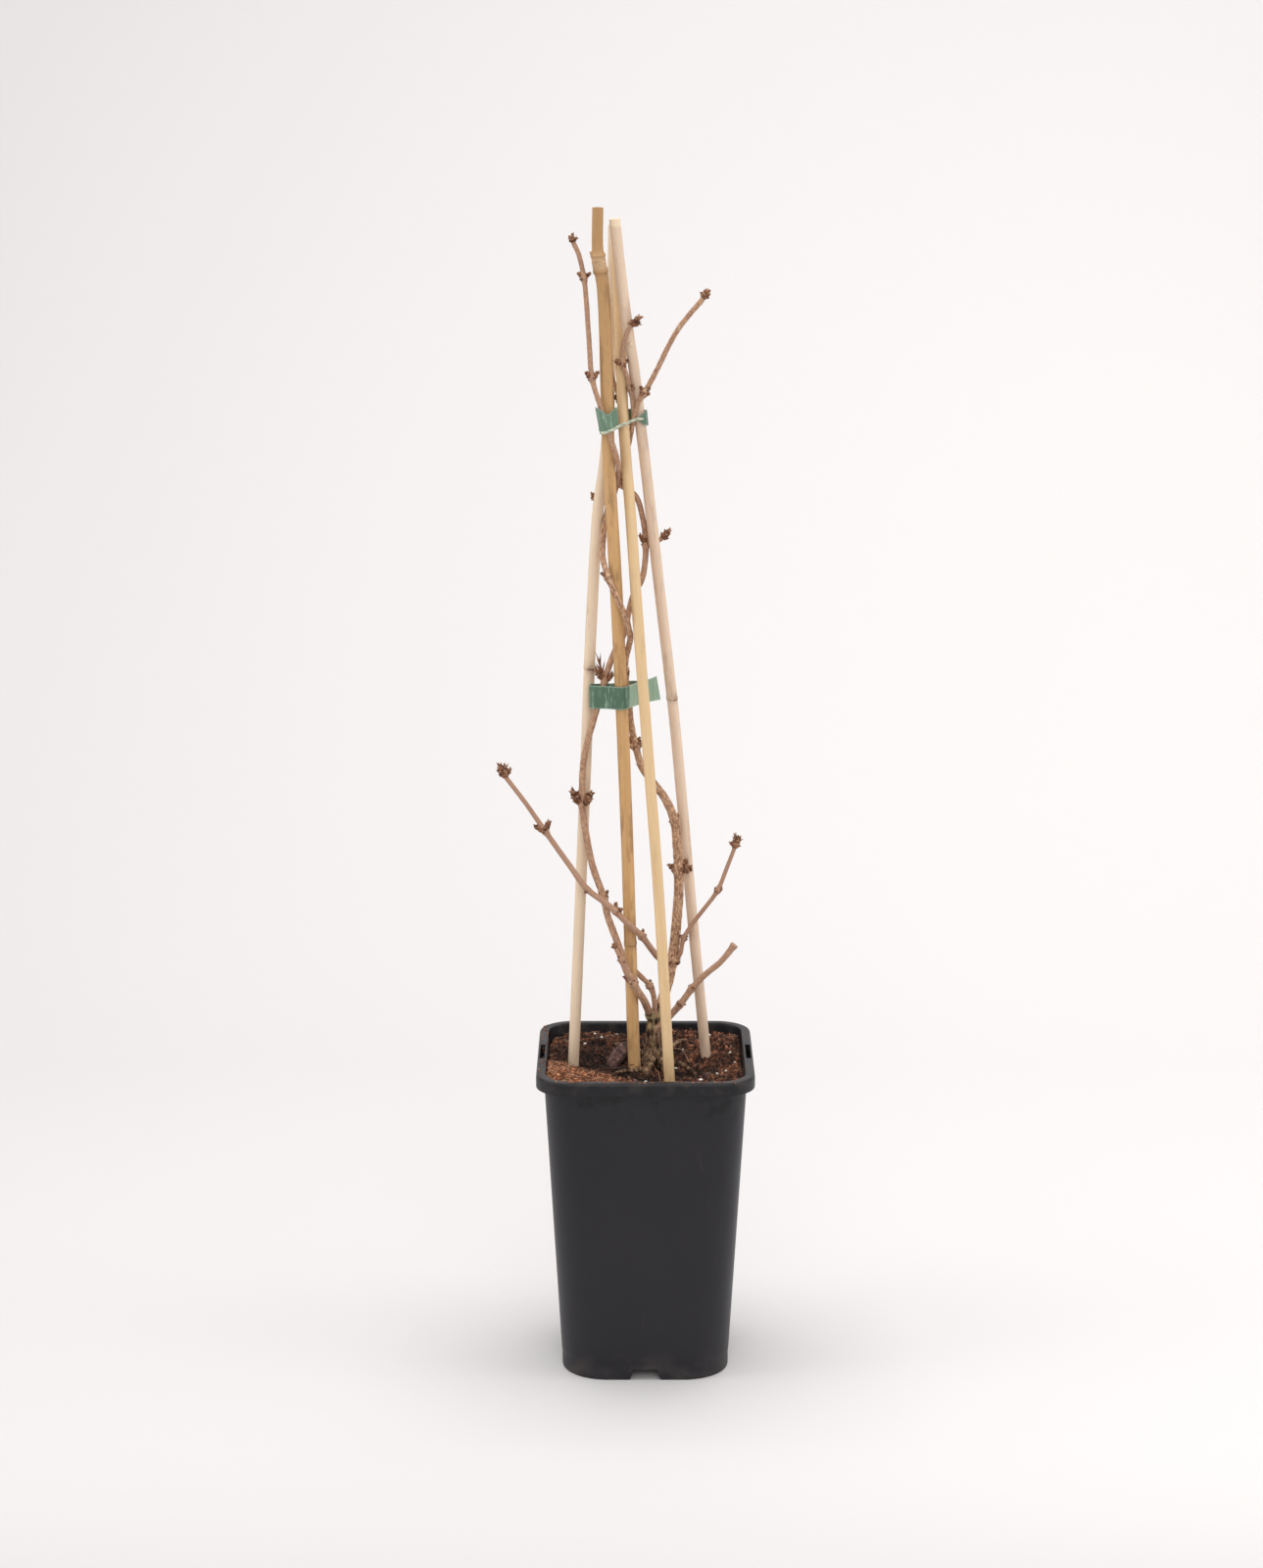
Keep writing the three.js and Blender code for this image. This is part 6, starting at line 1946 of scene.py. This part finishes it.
def build_ties(settings):
    tape = new_material("Green plastic tape", 0.5, paint_tape, settings.green)
    cord = new_material("Twisted tape", 0.45, paint_cord)

    def front_layer(place):
        return ease(place.x, -9.2 * MM, -10.2 * MM)

    middle = tape_piece("tie_middle_tape", [
        (TIE_MIDDLE_FRONT, False, front_layer),
        (TIE_MIDDLE_BACK, False, lambda place: 0.0),
    ], tape, settings.thickness)
    dress(middle, "tie_tape", "tie_middle")
    # The top tape is darkened all over, most towards the right: partly double tape, partly painted shade.
    top = tape_piece("tie_top_tape", [
        (TIE_TOP, True, lambda place: 0.8 + 0.2 * ease(place.x, -16 * MM, -4 * MM)),
    ], tape, settings.thickness)
    dress(top, "tie_tape", "tie_top")
    route = Route(TIE_CORD)
    lines = Lines(spacing=0.5 * MM, sides=12, relief_scale=700.0)
    for number, tint in enumerate((1.0, 0.45, 0.8)):
        line = []
        for step in range(CORD_STEPS + 1):
            distance = route.length * step / CORD_STEPS
            centre, tangent, side = route.at(distance)
            angle = math.tau * (number / 3 + distance / (CORD_TURN * MM))
            out = Matrix.Rotation(angle, 3, tangent) @ side
            line.append((centre + out * CORD_STRAND * MM) / MM)
        twist = Route(line)

        def radius(distance):
            ragged = 1 + 0.25 * noise.noise(Vector((distance * 900, number * 3.7, 0)))
            from_end = min(distance, twist.length - distance) + 0.00015
            return CORD_STRAND * MM * ragged * round_end(from_end, 0.9 * MM)

        lines.add(twist, radius, rough=0.1 * MM, tint=tint)
    dress(sweep("tie_top_twist", lines, Shapes(), cord), "tie_tape")


# The paper behind: where its floor starts and bends up, its bend and its top, in metres
BACKDROP = {"front": -4.0, "bend_at": 0.6, "bend": 0.9, "bend_steps": 24, "top": 4.0}
BACKDROP_COLUMNS = 24
BACKDROP_HALF_WIDTH = 4.5
# Lights: place, what they face, their two sizes, the setting of their power, colour
LIGHTS = {
    "left_softbox": ((-1.55, -0.35, 0.75), (0, 0, 0.3), (0.7, 1.7), "side_light", (1, 0.985, 0.965)),
    "right_softbox": ((1.55, -0.25, 0.75), (0, 0, 0.3), (0.7, 1.7), "side_light", (1, 0.985, 0.965)),
    "overhead_softbox": ((0, 0.2, 2.1), (0, 0, 0.2), (2.2, 1.6), "top_light", (1, 0.99, 0.98)),
    "front_fill": ((0.1, -2.6, 1.5), (0, 0, 0.3), (1.8, 1.2), "front_light", (1, 0.985, 0.97)),
}
ROOM_COLOUR = (1.0, 0.985, 0.97, 1)
# Camera as fitted to the pot: place in metres, turn from straight down in degrees, focal length
CAMERA_PLACE = (-0.00833, -1.999, 0.8121)
CAMERA_TURN = 77.184
CAMERA_LENS = 79.14


def backdrop_mesh():
    """Paper just under the pot's foot that curves up behind."""
    start, bend, steps = BACKDROP["bend_at"], BACKDROP["bend"], BACKDROP["bend_steps"]
    profile = [(BACKDROP["front"], 0.0), (start, 0.0)]
    for step in range(steps + 1):
        angle = math.pi / 2 * step / steps
        profile.append((start + bend * math.sin(angle), bend * (1 - math.cos(angle))))
    profile.append((start + bend, BACKDROP["top"]))
    points, faces = [], []
    row = len(profile)
    for column in range(BACKDROP_COLUMNS + 1):
        x = BACKDROP_HALF_WIDTH * (2 * column / BACKDROP_COLUMNS - 1)
        points += [(x, y, z - 0.0002) for y, z in profile]
    for column in range(BACKDROP_COLUMNS):
        for step in range(row - 1):
            a, b = column * row + step, (column + 1) * row + step
            faces.append((a, b, b + 1, a + 1))
    return mesh_from("studio_floor", points, faces)


def build_stage(settings):
    """A pale floor that curves up behind, soft light from both sides and above, and the camera."""
    scene = bpy.context.scene
    floor = new_object("studio_floor", smooth(backdrop_mesh()))
    floor.data.materials.append(new_material("Studio paper", 0.15, paint_floor))
    for name, (place, aim, size, power, colour) in LIGHTS.items():
        light = bpy.data.lights.new(name, "AREA")
        light.shape = "RECTANGLE"
        light.size, light.size_y = size
        light.energy = getattr(settings, power)
        light.color = colour
        lamp = new_object(name, light)
        lamp.location = place
        lamp.rotation_euler = (Vector(aim) - Vector(place)).to_track_quat("-Z", "Y").to_euler()
    scene.world = bpy.data.worlds.new("studio_world")
    scene.world.use_nodes = True
    room = scene.world.node_tree.nodes["Background"].inputs
    room["Color"].default_value = ROOM_COLOUR
    room["Strength"].default_value = settings.room_light
    lens = bpy.data.cameras.new("camera")
    lens.lens = CAMERA_LENS
    lens.sensor_width = 36
    lens.clip_start, lens.clip_end = 0.05, 30
    scene.camera = new_object("camera", lens)
    scene.camera.location = CAMERA_PLACE
    scene.camera.rotation_euler = (math.radians(CAMERA_TURN), 0, 0)
    scene.view_settings.view_transform = "Standard"


def colour_setting(name, description, default):
    return bpy.props.FloatVectorProperty(
        name=name, description=description, subtype="COLOR", size=3, default=default, min=0, max=1)


def depth_setting(name, description, default, low, high):
    return bpy.props.FloatProperty(
        name=name, description=description, default=default, min=low, max=high, precision=5,
        unit="LENGTH", subtype="DISTANCE")


def count_setting(name, description, default, most):
    return bpy.props.IntProperty(name=name, description=description, default=default, min=0, max=most)


def power_setting(name, description, default):
    return bpy.props.FloatProperty(
        name=name, description=description, default=default, min=0, unit="POWER")


class PotSettings(bpy.types.PropertyGroup):
    """What a user would change about the pot."""

    plastic: colour_setting("Plastic", "Colour of the moulded plastic", PLASTIC)


class CaneSettings(bpy.types.PropertyGroup):
    """What a user would change about the canes."""

    pale: colour_setting("Pale bamboo", "Main colour of the left, front and right canes", PALE_BAMBOO)
    golden: colour_setting("Golden bamboo", "Main colour of the middle cane", GOLDEN_BAMBOO)


class CrownSettings(bpy.types.PropertyGroup):
    """What a user would change about the rootstock."""

    moss: colour_setting("Moss", "Colour of the pale growth at the fork", MOSS)
    relief: depth_setting("Relief", "Depth of the bark's furrows", 0.00055, 0, 0.002)


class TieSettings(bpy.types.PropertyGroup):
    """What a user would change about the ties."""

    green: colour_setting("Tape", "Colour of the tape where it lies single", TAPE_GREEN)
    thickness: depth_setting("Thickness", "Thickness of the tape", 0.00045, 0.0001, 0.001)


class SoilSettings(bpy.types.PropertyGroup):
    """What a user would change about the soil."""

    crumbs: count_setting("Crumbs", "How many loose crumbs lie on the soil", 4600, 5500)
    fibres: count_setting("Fibres", "How many fibres lie on the soil", 2600, 3500)
    husk: colour_setting("Loose bark", "Colour of the loose heap at the front left", HUSK)


class StemSettings(bpy.types.PropertyGroup):
    """What a user would change about the stems."""

    peel: count_setting("Peeling bark", "How many strips of bark lift from the oldest stem", 60, 300)
    young_bark: colour_setting("Young bark", "Colour of this year's shoots", YOUNG_BARK)
    old_bark: colour_setting("Old bark", "Colour of the older stems", OLD_BARK)


class StageSettings(bpy.types.PropertyGroup):
    """What a user would change about the studio."""

    side_light: power_setting("Side lights", "Power of each side softbox", 5.6)
    top_light: power_setting("Overhead light", "Power of the overhead softbox", 27)
    front_light: power_setting("Front light", "Power of the light in front", 19)
    room_light: bpy.props.FloatProperty(
        name="Room light", description="Strength of the even light all round", default=0.78, min=0)


class HoneysuckleSettings(bpy.types.PropertyGroup):
    """All settings of the potted honeysuckle."""

    pot: bpy.props.PointerProperty(type=PotSettings)
    soil: bpy.props.PointerProperty(type=SoilSettings)
    canes: bpy.props.PointerProperty(type=CaneSettings)
    crown: bpy.props.PointerProperty(type=CrownSettings)
    stems: bpy.props.PointerProperty(type=StemSettings)
    ties: bpy.props.PointerProperty(type=TieSettings)
    stage: bpy.props.PointerProperty(type=StageSettings)


class OBJECT_OT_honeysuckle_pot(bpy.types.Operator):
    """Builds the square nursery pot"""

    bl_idname = "honeysuckle.pot"
    bl_label = "Pot"

    def execute(self, context):
        build_pot(context.scene.honeysuckle.pot)
        return {"FINISHED"}


class OBJECT_OT_honeysuckle_soil(bpy.types.Operator):
    """Builds the soil with its crumbs, fibres, bark chips, perlite and rootlets"""

    bl_idname = "honeysuckle.soil"
    bl_label = "Soil"

    def execute(self, context):
        build_soil(context.scene.honeysuckle.soil)
        return {"FINISHED"}


class OBJECT_OT_honeysuckle_canes(bpy.types.Operator):
    """Builds the four bamboo canes"""

    bl_idname = "honeysuckle.canes"
    bl_label = "Canes"

    def execute(self, context):
        build_canes(context.scene.honeysuckle.canes)
        return {"FINISHED"}


class OBJECT_OT_honeysuckle_crown(bpy.types.Operator):
    """Builds the rootstock"""

    bl_idname = "honeysuckle.crown"
    bl_label = "Rootstock"

    def execute(self, context):
        build_crown(context.scene.honeysuckle.crown)
        return {"FINISHED"}


class OBJECT_OT_honeysuckle_stems(bpy.types.Operator):
    """Builds the stems and shoots with their buds"""

    bl_idname = "honeysuckle.stems"
    bl_label = "Stems"

    def execute(self, context):
        build_stems(context.scene.honeysuckle.stems)
        return {"FINISHED"}


class OBJECT_OT_honeysuckle_ties(bpy.types.Operator):
    """Builds the two ties of green tape"""

    bl_idname = "honeysuckle.ties"
    bl_label = "Ties"

    def execute(self, context):
        build_ties(context.scene.honeysuckle.ties)
        return {"FINISHED"}


class OBJECT_OT_honeysuckle_stage(bpy.types.Operator):
    """Builds the floor, the backdrop, the lights and the camera"""

    bl_idname = "honeysuckle.stage"
    bl_label = "Stage"

    def execute(self, context):
        build_stage(context.scene.honeysuckle.stage)
        return {"FINISHED"}


OPERATORS = (
    OBJECT_OT_honeysuckle_stage, OBJECT_OT_honeysuckle_pot, OBJECT_OT_honeysuckle_soil,
    OBJECT_OT_honeysuckle_canes, OBJECT_OT_honeysuckle_crown, OBJECT_OT_honeysuckle_stems,
    OBJECT_OT_honeysuckle_ties,
)


class VIEW3D_PT_honeysuckle(bpy.types.Panel):
    """Lists the pieces and their settings in the sidebar."""

    bl_label = "Potted honeysuckle"
    bl_space_type = "VIEW_3D"
    bl_region_type = "UI"
    bl_category = "Honeysuckle"

    def draw(self, context):
        settings = context.scene.honeysuckle
        for part in ("pot", "soil", "canes", "crown", "stems", "ties", "stage"):
            group = getattr(settings, part)
            box = self.layout.box()
            for name in group.bl_rna.properties.keys():
                if name not in ("rna_type", "name"):
                    box.prop(group, name)
        for operator in OPERATORS:
            self.layout.operator(operator.bl_idname)


CLASSES = (
    PotSettings, SoilSettings, CaneSettings, CrownSettings, StemSettings, TieSettings, StageSettings,
    HoneysuckleSettings, *OPERATORS, VIEW3D_PT_honeysuckle,
)


def register():
    for cls in CLASSES:
        bpy.utils.register_class(cls)
    bpy.types.Scene.honeysuckle = bpy.props.PointerProperty(type=HoneysuckleSettings)


def unregister():
    del bpy.types.Scene.honeysuckle
    for cls in reversed(CLASSES):
        bpy.utils.unregister_class(cls)


def main():
    register()
    bpy.ops.honeysuckle.stage()
    bpy.ops.honeysuckle.pot()
    bpy.ops.honeysuckle.soil()
    bpy.ops.honeysuckle.canes()
    bpy.ops.honeysuckle.crown()
    bpy.ops.honeysuckle.stems()
    bpy.ops.honeysuckle.ties()


def plain(box):
    return [[round(float(value), 5) for value in corner] for corner in box]


if __name__ == "__main__":
    main()
